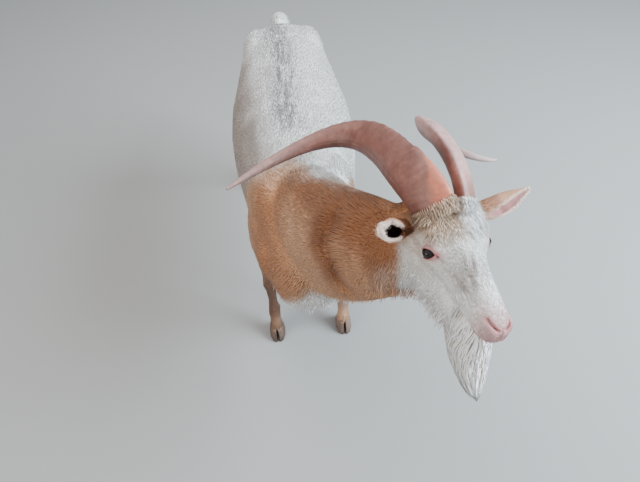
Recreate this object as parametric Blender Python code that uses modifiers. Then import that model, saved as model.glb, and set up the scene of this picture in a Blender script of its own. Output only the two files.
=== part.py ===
"""A standing long-horned billy goat at life size, in metres, with +Z up.

The goat faces -Y and its left side is +X. Lengths are measured from the withers, the top of the
shoulders, which stand over (0, 0). The flesh is modelled whole from lofts and muscle masses, made one
skin, and parted with thin cuts. At the end an empty carries everything so that the origin is at the
centre of the bottom of the bounding box. Solids reach out to the tips of the coat.
"""
import math

import bmesh
import bpy
import numpy as np
from mathutils import Matrix, Vector

# Gaps and mesh sizes
GAP = 0.0003
SEAM = 0.0004
VOXEL = 0.0045
RING_POINTS = 32
BODY_TRIANGLES = 2400
HEAD_TRIANGLES = 1500

# Pose of the head: its frame has the poll as origin, +X to the goat's left, -Y to the nose
POLL = Vector((0.231, -0.252, 0.839))
HEAD_YAW = math.radians(9.0)
HEAD_LIFT = math.radians(3.6)
HEAD_ROLL = math.radians(3.8)

# Trunk: distance behind the withers, top, underside, half width and height of the widest place
TRUNK = (
    (-0.245, 0.590, 0.470, 0.045, 0.530),
    (-0.215, 0.655, 0.430, 0.082, 0.530),
    (-0.150, 0.722, 0.405, 0.112, 0.540),
    (-0.070, 0.775, 0.394, 0.132, 0.550),
    (0.000, 0.800, 0.388, 0.146, 0.555),
    (0.100, 0.789, 0.380, 0.166, 0.555),
    (0.220, 0.776, 0.368, 0.186, 0.550),
    (0.340, 0.778, 0.378, 0.190, 0.555),
    (0.440, 0.786, 0.425, 0.170, 0.590),
    (0.540, 0.790, 0.480, 0.145, 0.635),
    (0.620, 0.765, 0.510, 0.120, 0.640),
    (0.680, 0.722, 0.540, 0.090, 0.640),
    (0.712, 0.675, 0.580, 0.050, 0.630),
)
TRUNK_SQUARENESS = 2.2

# Paths of the neck, limbs and tail: x, y, z, half width across and half depth
NECK = (
    (0.000, -0.030, 0.600, 0.120, 0.175),
    (0.030, -0.115, 0.628, 0.118, 0.178),
    (0.080, -0.190, 0.672, 0.108, 0.165),
    (0.135, -0.238, 0.712, 0.098, 0.145),
    (0.185, -0.272, 0.748, 0.084, 0.118),
    (0.222, -0.300, 0.785, 0.064, 0.086),
)
FORELEG = (
    (0.080, 0.010, 0.690, 0.045, 0.080),
    (0.100, -0.015, 0.600, 0.050, 0.090),
    (0.115, -0.010, 0.505, 0.045, 0.066),
    (0.119, -0.015, 0.420, 0.034, 0.043),
    (0.119, -0.027, 0.335, 0.025, 0.029),
    (0.118, -0.035, 0.288, 0.0265, 0.028),
    (0.118, -0.032, 0.245, 0.020, 0.0225),
    (0.118, -0.031, 0.170, 0.0175, 0.0190),
    (0.118, -0.035, 0.108, 0.0235, 0.0240),
    (0.118, -0.051, 0.075, 0.0215, 0.0215),
    (0.118, -0.062, 0.040, 0.0250, 0.0280),
)
HINDLEG = (
    (0.065, 0.590, 0.690, 0.055, 0.080),
    (0.088, 0.572, 0.610, 0.062, 0.110),
    (0.108, 0.535, 0.515, 0.054, 0.090),
    (0.112, 0.570, 0.435, 0.037, 0.055),
    (0.106, 0.632, 0.372, 0.025, 0.036),
    (0.104, 0.660, 0.335, 0.0240, 0.0340),
    (0.105, 0.664, 0.285, 0.0200, 0.0240),
    (0.108, 0.656, 0.200, 0.0178, 0.0200),
    (0.110, 0.648, 0.112, 0.0238, 0.0245),
    (0.111, 0.629, 0.078, 0.0215, 0.0215),
    (0.112, 0.614, 0.040, 0.0250, 0.0280),
)
TAIL = (
    (0.000, 0.660, 0.715, 0.035, 0.022),
    (0.000, 0.700, 0.725, 0.030, 0.019),
    (0.000, 0.745, 0.715, 0.032, 0.020),
    (0.000, 0.785, 0.680, 0.026, 0.018),
    (0.000, 0.805, 0.645, 0.012, 0.010),
)

# Muscle masses on each side of the body: centre, radii and tilt about the side-to-side axis
BODY_MASSES = (
    ((0.080, -0.010, 0.640), (0.060, 0.095, 0.135), 14.0),
    ((0.090, -0.110, 0.555), (0.048, 0.065, 0.075), 0.0),
    ((0.075, 0.560, 0.690), (0.060, 0.110, 0.085), -18.0),
    ((0.108, 0.480, 0.520), (0.050, 0.050, 0.055), 0.0),
)

# Head: distance before the poll, top, underside, half width and height of the widest place
HEAD = (
    (-0.050, 0.010, -0.070, 0.040, -0.025),
    (-0.015, 0.040, -0.090, 0.051, -0.025),
    (0.020, 0.055, -0.094, 0.055, -0.020),
    (0.060, 0.066, -0.091, 0.056, -0.010),
    (0.100, 0.067, -0.081, 0.053, -0.004),
    (0.135, 0.057, -0.071, 0.044, -0.010),
    (0.170, 0.046, -0.063, 0.0355, -0.018),
    (0.205, 0.037, -0.057, 0.0305, -0.020),
    (0.235, 0.029, -0.053, 0.0290, -0.020),
    (0.258, 0.020, -0.050, 0.0275, -0.020),
    (0.273, 0.009, -0.044, 0.0235, -0.019),
    (0.283, -0.004, -0.034, 0.0150, -0.019),
)
HEAD_SQUARENESS = 2.3
HEAD_MASSES = (
    ((0.046, -0.108, 0.018), (0.0155, 0.032, 0.022), 0.0),
    ((0.040, -0.096, 0.038), (0.018, 0.040, 0.015), 12.0),
    ((0.034, -0.060, -0.045), (0.022, 0.060, 0.042), 0.0),
    ((0.024, -0.085, -0.082), (0.030, 0.085, 0.040), 0.0),
    ((0.016, -0.160, -0.073), (0.028, 0.060, 0.038), 0.0),
    ((0.034, -0.060, 0.048), (0.029, 0.042, 0.025), 0.0),
    ((0.056, -0.038, 0.010), (0.020, 0.024, 0.023), 0.0),
    ((0.0165, -0.262, -0.002), (0.0120, 0.019, 0.0135), 0.0),
    ((0.0110, -0.262, -0.024), (0.0165, 0.019, 0.0125), 0.0),
    ((0.0070, -0.247, -0.043), (0.0150, 0.021, 0.0130), 0.0),
)

# Eyes, in the head's frame
EYE_CENTRE = Vector((0.0490, -0.1130, 0.016))
EYE_RADIUS = 0.0145

# Horns, in the head's frame: each curve's control points, and sections of place along, depth, width
HORN_CURVES = {
    "horn_left": (
        (0.029, -0.060, 0.056),
        (0.051, 0.010, 0.132),
        (-0.011, 0.174, 0.183),
        (-0.054, 0.130, 0.065),
        (0.283, 0.228, -0.119),
        (0.346, 0.252, -0.144),
    ),
    "horn_right": (
        (-0.029, -0.060, 0.056),
        (-0.046, 0.020, 0.119),
        (-0.122, 0.029, 0.061),
        (0.127, 0.448, 0.023),
        (-0.299, 0.231, -0.034),
        (-0.368, 0.194, -0.042),
    ),
}
HORN_KEEL_START = Vector((-0.50, -0.50, 0.70))
HORN_SECTIONS = {
    "horn_left": (
        (0.00, 0.0380, 0.0175),
        (0.12, 0.0390, 0.0180),
        (0.30, 0.0385, 0.0170),
        (0.45, 0.0330, 0.0152),
        (0.60, 0.0250, 0.0128),
        (0.75, 0.0155, 0.0098),
        (0.90, 0.0085, 0.0065),
        (1.00, 0.0025, 0.0022),
    ),
    "horn_right": (
        (0.00, 0.0440, 0.0245),
        (0.12, 0.0450, 0.0240),
        (0.30, 0.0450, 0.0205),
        (0.45, 0.0390, 0.0180),
        (0.60, 0.0280, 0.0145),
        (0.75, 0.0165, 0.0105),
        (0.90, 0.0085, 0.0065),
        (1.00, 0.0025, 0.0022),
    ),
}
HORN_RINGS = 15
HORN_RING_POINTS = 10
HORN_TWISTS = {"horn_left": math.radians(-20.0), "horn_right": math.radians(10.0)}
HORN_KEEL = 0.35

# Ears, in the head's frame: base, direction at the base and at the tip, and where the slit faces
EARS = {
    "ear_left": ((0.062, -0.036, 0.004), (0.90, -0.17, 0.40), (0.90, -0.19, 0.36), (-0.40, -0.94, -0.12)),
    "ear_right": ((-0.060, -0.036, 0.004), (-0.90, -0.28, 0.30), (-0.28, -0.62, 0.74), (0.60, -0.60, 0.25)),
}
EAR_LENGTH = 0.132
EAR_ROOT = 0.012
EAR_THICKNESS = 0.0035
EAR_SECTIONS = (
    (0.00, 0.0140, 345.0),
    (0.18, 0.0150, 325.0),
    (0.38, 0.0190, 295.0),
    (0.58, 0.0215, 255.0),
    (0.78, 0.0180, 205.0),
    (0.92, 0.0115, 160.0),
    (1.00, 0.0055, 110.0),
)
EAR_ROWS = 7
EAR_COLUMNS = 8

# Beard, in the head's frame: drop below its root, place ahead of the poll and to the left, half
# width and half length
BEARD_ROOT_HEIGHT = -0.045
BEARD_POINTS = 10
BEARD_SECTIONS = (
    (-0.012, 0.195, 0.000, 0.020, 0.048),
    (0.025, 0.205, 0.000, 0.033, 0.058),
    (0.070, 0.222, 0.000, 0.038, 0.052),
    (0.115, 0.243, 0.004, 0.033, 0.040),
    (0.155, 0.268, 0.009, 0.021, 0.026),
    (0.190, 0.297, 0.016, 0.004, 0.006),
)

# Hooves: two claws on each foot, on a flat sole, and two dewclaws behind each fetlock
HOOF_HEIGHT = 0.047
CORONET_SLOPE = math.radians(11.0)
CLAW_HEEL = 0.034
CLAW_TOE = 0.042
CLAW_WIDTH = 0.0255
CLAW_CLEFT = 0.0018
CLAW_POINTS = 10
HOOF_CENTRES = {"fore": Vector((0.118, -0.066, 0.0)), "hind": Vector((0.112, 0.610, 0.0))}
DEWCLAW_RADII = (0.008, 0.009, 0.013)
DEWCLAW_CENTRES = {"fore": Vector((0.0135, -0.016, 0.096)), "hind": Vector((0.0135, 0.668, 0.099))}
DEWCLAW_TILT = math.radians(25.0)

# Boxes that part the flesh: pivot, turns about +Z and +X in degrees, centre from the pivot, and size
HEAD_BOX = ((0.0, 0.0, 0.0), 0.0, -14.0, (0.0, -0.205, 0.030), (0.26, 0.40, 0.40))
NECK_BOX = ((0.062, -0.150, 0.680), 34.0, -32.0, (0.0, -0.20, 0.0), (0.50, 0.40, 0.60))
TAIL_BOX = ((0.0, 0.868, 0.700), 0.0, 0.0, (0.0, 0.0, 0.0), (0.16, 0.30, 0.30))
FORELEG_BOX = ((0.228, -0.036, 0.250), 0.0, -6.4, (0.0, 0.0, 0.0), (0.30, 0.16, 0.52))
HINDLEG_BOX = ((0.180, 0.620, 0.300), 0.0, 0.0, (0.0, 0.0, 0.0), (0.30, 0.36, 0.60))
KNEE_BOX = ((0.0, 0.0, 0.144), 0.0, 0.0, (0.0, 0.0, 0.0), (1.0, 2.0, 0.288))
HOCK_BOX = ((0.0, 0.0, 0.1725), 0.0, 0.0, (0.0, 0.0, 0.0), (1.0, 2.0, 0.345))

COLOURS = {
    "coat_white": ((0.80, 0.78, 0.75, 1.0), 0.85, 0.0),
    "coat_tan": ((0.62, 0.42, 0.27, 1.0), 0.85, 0.0),
    "horn": ((0.48, 0.30, 0.23, 1.0), 0.50, 0.0),
    "hoof": ((0.42, 0.34, 0.28, 1.0), 0.60, 0.0),
    "ear": ((0.70, 0.50, 0.38, 1.0), 0.80, 0.0),
    "eye": ((0.05, 0.04, 0.05, 1.0), 0.10, 0.0),
}

LEFT = Vector((1.0, 0.0, 0.0))
FORWARD = Vector((0.0, -1.0, 0.0))
UP = Vector((0.0, 0.0, 1.0))
SIDES = {"left": 1.0, "right": -1.0}


def clear_scene():
    for obj in list(bpy.data.objects):
        bpy.data.objects.remove(obj, do_unlink=True)


def new_collection(name, hidden=False):
    collection = bpy.data.collections.new(name)
    bpy.context.scene.collection.children.link(collection)
    collection.hide_render = hidden
    return collection


def new_materials():
    made = {}
    for name, (colour, roughness, metallic) in COLOURS.items():
        material = bpy.data.materials.new(name)
        material.use_nodes = True
        shader = material.node_tree.nodes["Principled BSDF"]
        shader.inputs["Base Color"].default_value = colour
        shader.inputs["Roughness"].default_value = roughness
        shader.inputs["Metallic"].default_value = metallic
        made[name] = material
    return made


def head_matrix():
    """Head frame to the goat's frame."""
    turn = Matrix.Rotation(HEAD_YAW, 4, "Z") @ Matrix.Rotation(-HEAD_LIFT, 4, "X")
    return Matrix.Translation(POLL) @ turn @ Matrix.Rotation(HEAD_ROLL, 4, "Y")


def object_from(name, mesh, collection):
    """A mesh object made from a bmesh, which is freed."""
    bmesh.ops.recalc_face_normals(mesh, faces=mesh.faces)
    data = bpy.data.meshes.new(name)
    mesh.to_mesh(data)
    mesh.free()
    obj = bpy.data.objects.new(name, data)
    collection.objects.link(obj)
    return obj


def duplicate(obj, name):
    copy = obj.copy()
    copy.data = obj.data.copy()
    copy.name = name
    obj.users_collection[0].objects.link(copy)
    return copy


def modified(obj, kind, **settings):
    """Adds one modifier with these settings and applies it."""
    modifier = obj.modifiers.new(kind.title(), kind)
    for key, value in settings.items():
        setattr(modifier, key, value)
    bpy.context.view_layer.objects.active = obj
    bpy.ops.object.modifier_apply(modifier=modifier.name)
    return obj


def smooth_rows(rows, steps):
    """Rows of numbers with Catmull-Rom rows added between them, `steps` to each span."""
    table = np.array(rows, float)
    padded = np.vstack([2 * table[0] - table[1], table, 2 * table[-1] - table[-2]])
    made = []
    for index in range(1, len(table)):
        a, b, c, d = padded[index - 1 : index + 3]
        for t in np.arange(steps) / steps:
            cubic = 0.5 * (-a + 3 * b - 3 * c + d)
            square = 0.5 * (2 * a - 5 * b + 4 * c - d)
            made.append(cubic * t**3 + square * t**2 + 0.5 * (c - a) * t + b)
    return np.vstack([made, table[-1]])


def oval(centre, across, rise, half_width, above, below, squareness=2.0, count=RING_POINTS):
    """Points of a superellipse that reaches `above` along `rise` and `below` against it."""
    points = []
    for step in range(count):
        angle = 2 * math.pi * step / count
        cosine, sine = math.cos(angle), math.sin(angle)
        x = half_width * math.copysign(abs(cosine) ** (2 / squareness), cosine)
        reach = above if sine > 0 else below
        z = reach * math.copysign(abs(sine) ** (2 / squareness), sine)
        points.append(centre + across * x + rise * z)
    return points


def add_loft(mesh, rings):
    """Adds to the bmesh a closed skin through rings with equal numbers of points."""
    loops = [[mesh.verts.new(point) for point in ring] for ring in rings]
    count = len(loops[0])
    faces = []
    for near, far in zip(loops, loops[1:]):
        for start in range(count):
            after = (start + 1) % count
            faces.append(mesh.faces.new((near[start], near[after], far[after], far[start])))
    faces.append(mesh.faces.new(list(reversed(loops[0]))))
    faces.append(mesh.faces.new(loops[-1]))
    bmesh.ops.recalc_face_normals(mesh, faces=faces)


def add_spine_loft(mesh, rows, squareness, frame=Matrix.Identity(4), forward=False):
    """A loft along the front-to-back axis, from rows of place, top, underside, width, widest height."""
    rings = []
    for place, top, bottom, half_width, middle in smooth_rows(rows, 3):
        centre = Vector((0.0, -place if forward else place, middle))
        ring = oval(centre, LEFT, UP, half_width, top - middle, middle - bottom, squareness)
        rings.append([frame @ point for point in ring])
    add_loft(mesh, rings)


def add_path_loft(mesh, rows, reference, side=1.0):
    """A loft with oval sections square to its path; `reference` leans the sections' depth."""
    table = smooth_rows(rows, 3)
    centres = [Vector((side * x, y, z)) for x, y, z in table[:, :3]]
    rings = []
    for index, (half_width, half_depth) in enumerate(table[:, 3:]):
        ahead = centres[min(index + 1, len(centres) - 1)]
        tangent = (ahead - centres[max(index - 1, 0)]).normalized()
        across = tangent.cross(reference).normalized()
        depth = across.cross(tangent)
        rings.append(oval(centres[index], across, depth, half_width, half_depth, half_depth))
    add_loft(mesh, rings)


def add_masses(mesh, masses, frame=Matrix.Identity(4)):
    """Adds an ellipsoid on each side for every row of centre, radii and tilt."""
    for centre, radii, tilt in masses:
        for side in SIDES.values():
            place = Matrix.Translation((side * centre[0], centre[1], centre[2]))
            place = place @ Matrix.Rotation(math.radians(tilt), 4, "X")
            matrix = frame @ place @ Matrix.Diagonal((*radii, 1.0))
            bmesh.ops.create_uvsphere(mesh, u_segments=24, v_segments=16, radius=1.0, matrix=matrix)


def make_flesh(collection):
    """The whole body as one skin, without horns, ears, eyes, beard and hooves."""
    mesh = bmesh.new()
    add_spine_loft(mesh, TRUNK, TRUNK_SQUARENESS)
    add_path_loft(mesh, NECK, UP)
    add_path_loft(mesh, TAIL, UP)
    for side in SIDES.values():
        add_path_loft(mesh, FORELEG, FORWARD, side)
        add_path_loft(mesh, HINDLEG, FORWARD, side)
    add_masses(mesh, BODY_MASSES)
    add_spine_loft(mesh, HEAD, HEAD_SQUARENESS, head_matrix(), forward=True)
    add_masses(mesh, HEAD_MASSES, head_matrix())
    flesh = object_from("flesh", mesh, collection)
    modified(flesh, "REMESH", mode="VOXEL", voxel_size=VOXEL, use_smooth_shade=True)
    mark_head(flesh)
    modified(flesh, "SMOOTH", factor=0.5, iterations=3)
    modified(flesh, "SMOOTH", factor=0.5, iterations=24, vertex_group="head", invert_vertex_group=True)
    total, head_total = triangle_counts(flesh)
    ratio = (head_total + BODY_TRIANGLES) / total
    modified(flesh, "DECIMATE", ratio=ratio, vertex_group="head", invert_vertex_group=True)
    total, head_total = triangle_counts(flesh)
    ratio = (total - head_total + HEAD_TRIANGLES) / total
    modified(flesh, "DECIMATE", ratio=ratio, vertex_group="head")
    flesh.vertex_groups.clear()
    modified(flesh, "TRIANGULATE")
    return flesh


def mark_head(flesh):
    """Puts the head's points in a vertex group."""
    to_head = head_matrix().inverted()
    group = flesh.vertex_groups.new(name="head")
    for vertex in flesh.data.vertices:
        place = to_head @ vertex.co
        if place.y < 0.02 and place.z > -0.13:
            group.add([vertex.index], 1.0, "REPLACE")


def triangle_counts(flesh):
    """The triangles of the whole skin, and those of its head's vertex group."""
    inside = {vertex.index for vertex in flesh.data.vertices if vertex.groups}
    total = sum(len(face.vertices) - 2 for face in flesh.data.polygons)
    of_head = sum(len(face.vertices) - 2 for face in flesh.data.polygons if set(face.vertices) <= inside)
    return total, of_head


def box_object(name, size, matrix, collection):
    mesh = bmesh.new()
    bmesh.ops.create_cube(mesh, size=1.0, matrix=Matrix.Diagonal((*size, 1.0)))
    box = object_from(name, mesh, collection)
    box.matrix_world = matrix
    box.display_type = "WIRE"
    box.hide_render = True
    return box


def cut_out(flesh, name, box, cutters, side=1.0, frame=Matrix.Identity(4)):
    """Takes what lies in the box out of the flesh as a new object, with a seam between the two."""
    (x, y, z), turn, tilt, centre, size = box
    turned = Matrix.Rotation(math.radians(turn), 4, "Z") @ Matrix.Rotation(math.radians(tilt), 4, "X")
    matrix = frame @ Matrix.Translation((side * x, y, z)) @ turned @ Matrix.Translation(centre)
    inside = box_object(name + "_cut", size, matrix, cutters)
    wider = box_object(name + "_seam", [length + 2 * SEAM for length in size], matrix, cutters)
    piece = duplicate(flesh, name)
    modified(piece, "BOOLEAN", operation="INTERSECT", solver="EXACT", object=inside)
    modified(flesh, "BOOLEAN", operation="DIFFERENCE", solver="EXACT", object=wider)
    return piece


def grown(obj, distance):
    """A copy whose every point has moved out along its normal."""
    copy = duplicate(obj, obj.name + "_grown")
    mesh = bmesh.new()
    mesh.from_mesh(copy.data)
    bmesh.ops.remove_doubles(mesh, verts=mesh.verts, dist=1e-6)
    mesh.normal_update()
    moved = [(vertex, vertex.co + vertex.normal * distance) for vertex in mesh.verts]
    for vertex, place in moved:
        vertex.co = place
    mesh.to_mesh(copy.data)
    mesh.free()
    return copy


def trim(piece, host):
    """Cuts from the piece all that lies in the host, and leaves the gap between them."""
    cutter = grown(host, GAP)
    modified(piece, "BOOLEAN", operation="DIFFERENCE", solver="EXACT", object=cutter)
    bpy.data.objects.remove(cutter, do_unlink=True)
    keep_largest(piece)


def keep_largest(piece):
    """Deletes the crumbs that a cut leaves beside the main body."""
    mesh = bmesh.new()
    mesh.from_mesh(piece.data)
    unseen = set(mesh.verts)
    bodies = []
    while unseen:
        body, front = set(), [unseen.pop()]
        while front:
            vertex = front.pop()
            body.add(vertex)
            near = {edge.other_vert(vertex) for edge in vertex.link_edges} & unseen
            unseen -= near
            front.extend(near)
        bodies.append(body)
    bodies.sort(key=len)
    crumbs = [vertex for body in bodies[:-1] for vertex in body]
    bmesh.ops.delete(mesh, geom=crumbs, context="VERTS")
    mesh.to_mesh(piece.data)
    mesh.free()


def part_flesh(flesh, cutters):
    """Parts the flesh into the goat's members and returns them by name."""
    members = {
        "head": cut_out(flesh, "head", HEAD_BOX, cutters, frame=head_matrix()),
        "neck": cut_out(flesh, "neck", NECK_BOX, cutters),
        "tail": cut_out(flesh, "tail", TAIL_BOX, cutters),
    }
    for side_name, side in SIDES.items():
        for leg, box, joint in (("foreleg", FORELEG_BOX, KNEE_BOX), ("hindleg", HINDLEG_BOX, HOCK_BOX)):
            upper = cut_out(flesh, f"{leg}_{side_name}", box, cutters, side)
            members[upper.name] = upper
            lower = cut_out(upper, f"{leg}_lower_{side_name}", joint, cutters)
            members[lower.name] = lower
    flesh.name = "trunk"
    members["trunk"] = flesh
    return members


def bezier(points, t):
    """The point at t of the Bezier curve with these control points."""
    while len(points) > 1:
        points = [a.lerp(b, t) for a, b in zip(points, points[1:])]
    return points[0]


def make_horn(name, side, collection):
    """A keeled horn swept along its curve; the keel runs along the outside of the bend."""
    controls = [Vector(point) for point in HORN_CURVES[name]]
    centres = [bezier(controls, step / HORN_RINGS) for step in range(HORN_RINGS + 1)]
    keel = Vector((side * HORN_KEEL_START.x, HORN_KEEL_START.y, HORN_KEEL_START.z))
    rings = []
    travelled = np.linspace(0.0, 1.0, HORN_RINGS + 1)
    table = np.array(HORN_SECTIONS[name])
    depths = np.interp(travelled, table[:, 0], table[:, 1])
    widths = np.interp(travelled, table[:, 0], table[:, 2])
    for index, centre in enumerate(centres):
        ahead = centres[min(index + 1, HORN_RINGS)]
        tangent = (ahead - centres[max(index - 1, 0)]).normalized()
        keel = (keel - tangent * keel.dot(tangent)).normalized()
        twisted = Matrix.Rotation(side * HORN_TWISTS[name] * travelled[index], 3, tangent) @ keel
        flat = tangent.cross(twisted)
        ring = []
        for step in range(HORN_RING_POINTS):
            angle = 2 * math.pi * step / HORN_RING_POINTS
            narrow = 1.0 - HORN_KEEL * max(math.cos(angle), 0.0) ** 2
            reach = twisted * (depths[index] * math.cos(angle))
            ring.append(centre + reach + flat * (widths[index] * narrow * math.sin(angle)))
        rings.append(ring)
    mesh = bmesh.new()
    add_loft(mesh, rings)
    horn = object_from(name, mesh, collection)
    horn.data.transform(head_matrix())
    return horn


def make_ear(name, collection):
    """A leaf-shaped ear, rolled to a tube at its base, open along a slit, and straight along its back."""
    base, root_way, tip_way, opening = (Vector(entry) for entry in EARS[name])
    table = np.array(EAR_SECTIONS)
    widest, most = max(table[:, :2].tolist(), key=lambda section: section[1])
    centre = base - root_way.normalized() * EAR_ROOT
    mesh = bmesh.new()
    rows = []
    for row in range(EAR_ROWS + 1):
        along = row / EAR_ROWS
        direction = root_way.lerp(tip_way, along).normalized()
        slit = (opening - direction * opening.dot(direction)).normalized()
        across = direction.cross(slit)
        radius = np.interp(along, table[:, 0], table[:, 1])
        span = math.radians(np.interp(along, table[:, 0], table[:, 2]))
        axis = centre - slit * (most - radius) if along > widest else centre
        angles = np.linspace(-span / 2, span / 2, EAR_COLUMNS + 1)
        rows.append(
            [mesh.verts.new(axis - (slit * math.cos(a) + across * math.sin(a)) * radius) for a in angles]
        )
        ahead = root_way.lerp(tip_way, (row + 0.5) / EAR_ROWS).normalized()
        centre = centre + ahead * (EAR_LENGTH / EAR_ROWS)
    for near, far in zip(rows, rows[1:]):
        for column in range(EAR_COLUMNS):
            mesh.faces.new((near[column], near[column + 1], far[column + 1], far[column]))
    ear = object_from(name, mesh, collection)
    modified(ear, "SOLIDIFY", thickness=EAR_THICKNESS, offset=0.0)
    modified(ear, "TRIANGULATE")
    ear.data.transform(head_matrix())
    return ear


def make_eye(name, side, collection):
    mesh = bmesh.new()
    bmesh.ops.create_uvsphere(mesh, u_segments=10, v_segments=7, radius=EYE_RADIUS)
    eye = object_from(name, mesh, collection)
    centre = Vector((side * EYE_CENTRE.x, EYE_CENTRE.y, EYE_CENTRE.z))
    eye.data.transform(head_matrix() @ Matrix.Translation(centre))
    return eye


def make_beard(collection):
    """Long hair that hangs from the jaw and leans forward to a point."""
    frame = head_matrix()
    rings = []
    for drop, ahead, aside, half_width, half_length in smooth_rows(BEARD_SECTIONS, 2):
        centre = Vector((aside, -ahead, BEARD_ROOT_HEIGHT - drop))
        ring = oval(centre, LEFT, FORWARD, half_width, half_length, half_length, count=BEARD_POINTS)
        rings.append([frame @ point for point in ring])
    mesh = bmesh.new()
    add_loft(mesh, rings)
    beard = object_from("beard", mesh, collection)
    modified(beard, "TRIANGULATE")
    return beard


def claw_outline(height, lean, scale, outward):
    """One level of a claw: a straight cleft side and a bowed outer side that meet at the toe."""
    points = []
    for step in range(CLAW_POINTS):
        angle = 2 * math.pi * step / CLAW_POINTS
        along, bow = -math.cos(angle), math.sin(angle)
        reach = CLAW_TOE if along > 0 else CLAW_HEEL
        x = CLAW_CLEFT + CLAW_WIDTH * scale * (0.5 + 0.5 * math.copysign(abs(bow) ** 0.6, bow))
        x -= 0.010 * max(along, 0.0) ** 3 * scale * (1.0 if bow > 0 else 0.0)
        y = lean - along * reach * scale
        points.append(Vector((outward * x, y, height)))
    return points


def make_claw(name, centre, outward, collection):
    """One claw of a cloven hoof, its sole flat on the ground and its top sloping to the heel."""
    mesh = bmesh.new()
    levels = ((0.0, 0.0, 1.0), (0.012, 0.001, 1.0), (0.030, 0.004, 0.94), (0.060, 0.010, 0.84))
    add_loft(mesh, [claw_outline(height, lean, scale, outward) for height, lean, scale in levels])
    claw = object_from(name, mesh, collection)
    claw.data.transform(Matrix.Translation(centre))
    return claw


def coronet_matrix(centre):
    """The frame of the sloping plane where hoof meets leg."""
    return Matrix.Translation(centre + Vector((0, 0, HOOF_HEIGHT))) @ Matrix.Rotation(-CORONET_SLOPE, 4, "X")


def make_foot(leg, side_name, side, lower, collection, cutters):
    """Trims a lower leg to the coronet and sets its claws and dewclaws."""
    made = []
    centre = HOOF_CENTRES[leg].copy()
    centre.x *= side
    plane = coronet_matrix(centre)
    below = box_object(
        f"coronet_{leg}_{side_name}", (0.2, 0.3, 0.2), plane @ Matrix.Translation((0, 0, GAP - 0.1)), cutters
    )
    modified(lower, "BOOLEAN", operation="DIFFERENCE", solver="EXACT", object=below)
    above = box_object(
        f"hoof_top_{leg}_{side_name}", (0.2, 0.3, 0.2), plane @ Matrix.Translation((0, 0, 0.1)), cutters
    )
    for place, outward in (("outer", side), ("inner", -side)):
        claw = make_claw(f"claw_{leg}_{side_name}_{place}", centre, outward, collection)
        modified(claw, "BOOLEAN", operation="DIFFERENCE", solver="EXACT", object=above)
        made.append(claw)
        mesh = bmesh.new()
        aside, back, height = DEWCLAW_CENTRES[leg]
        matrix = Matrix.Translation((centre.x + outward * aside, back, height))
        matrix = matrix @ Matrix.Rotation(DEWCLAW_TILT, 4, "X") @ Matrix.Diagonal((*DEWCLAW_RADII, 1.0))
        bmesh.ops.create_uvsphere(mesh, u_segments=6, v_segments=4, radius=1.0, matrix=matrix)
        dewclaw = object_from(f"dewclaw_{leg}_{side_name}_{place}", mesh, collection)
        trim(dewclaw, lower)
        made.append(dewclaw)
    return made


def shift_origin(parts):
    """Hangs every part on an empty so that the box's bottom centre is at the world origin."""
    corners = np.array([vertex.co for part in parts for vertex in part.data.vertices])
    low, high = corners.min(axis=0), corners.max(axis=0)
    carrier = bpy.data.objects.new("goat_frame", None)
    bpy.context.scene.collection.objects.link(carrier)
    carrier.location = (-(low[0] + high[0]) / 2, -(low[1] + high[1]) / 2, -low[2])
    for part in parts:
        part.parent = carrier


def finish(part, material):
    part.data.materials.clear()
    part.data.materials.append(material)
    part.data.shade_smooth()
    part.data.set_sharp_from_angle(angle=math.radians(40.0))


def main():
    clear_scene()
    goat = new_collection("goat")
    cutters = new_collection("cutters", hidden=True)
    materials = new_materials()
    members = part_flesh(make_flesh(goat), cutters)
    head = members["head"]
    extras = {}
    for side_name, side in SIDES.items():
        eye = make_eye("eye_" + side_name, side, goat)
        socket = grown(eye, GAP)
        modified(head, "BOOLEAN", operation="DIFFERENCE", solver="EXACT", object=socket)
        bpy.data.objects.remove(socket, do_unlink=True)
        extras[eye] = "eye"
    for side_name, side in SIDES.items():
        horn = make_horn("horn_" + side_name, side, goat)
        trim(horn, head)
        extras[horn] = "horn"
        ear = make_ear("ear_" + side_name, goat)
        trim(ear, head)
        extras[ear] = "ear"
    beard = make_beard(goat)
    trim(beard, head)
    extras[beard] = "coat_white"
    for side_name, side in SIDES.items():
        for leg in HOOF_CENTRES:
            lower = members[f"{leg}leg_lower_{side_name}"]
            for piece in make_foot(leg, side_name, side, lower, goat, cutters):
                extras[piece] = "hoof"
    tan = ("neck", "foreleg_left", "foreleg_right")
    for name, member in members.items():
        finish(member, materials["coat_tan" if name in tan else "coat_white"])
    for piece, material in extras.items():
        finish(piece, materials[material])
    shift_origin(list(members.values()) + list(extras))


main()
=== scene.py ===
import math
from contextlib import contextmanager

import bmesh
import bpy
import numpy as np
from mathutils import Matrix, Vector
from mathutils.bvhtree import BVHTree
from mathutils.kdtree import KDTree


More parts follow.
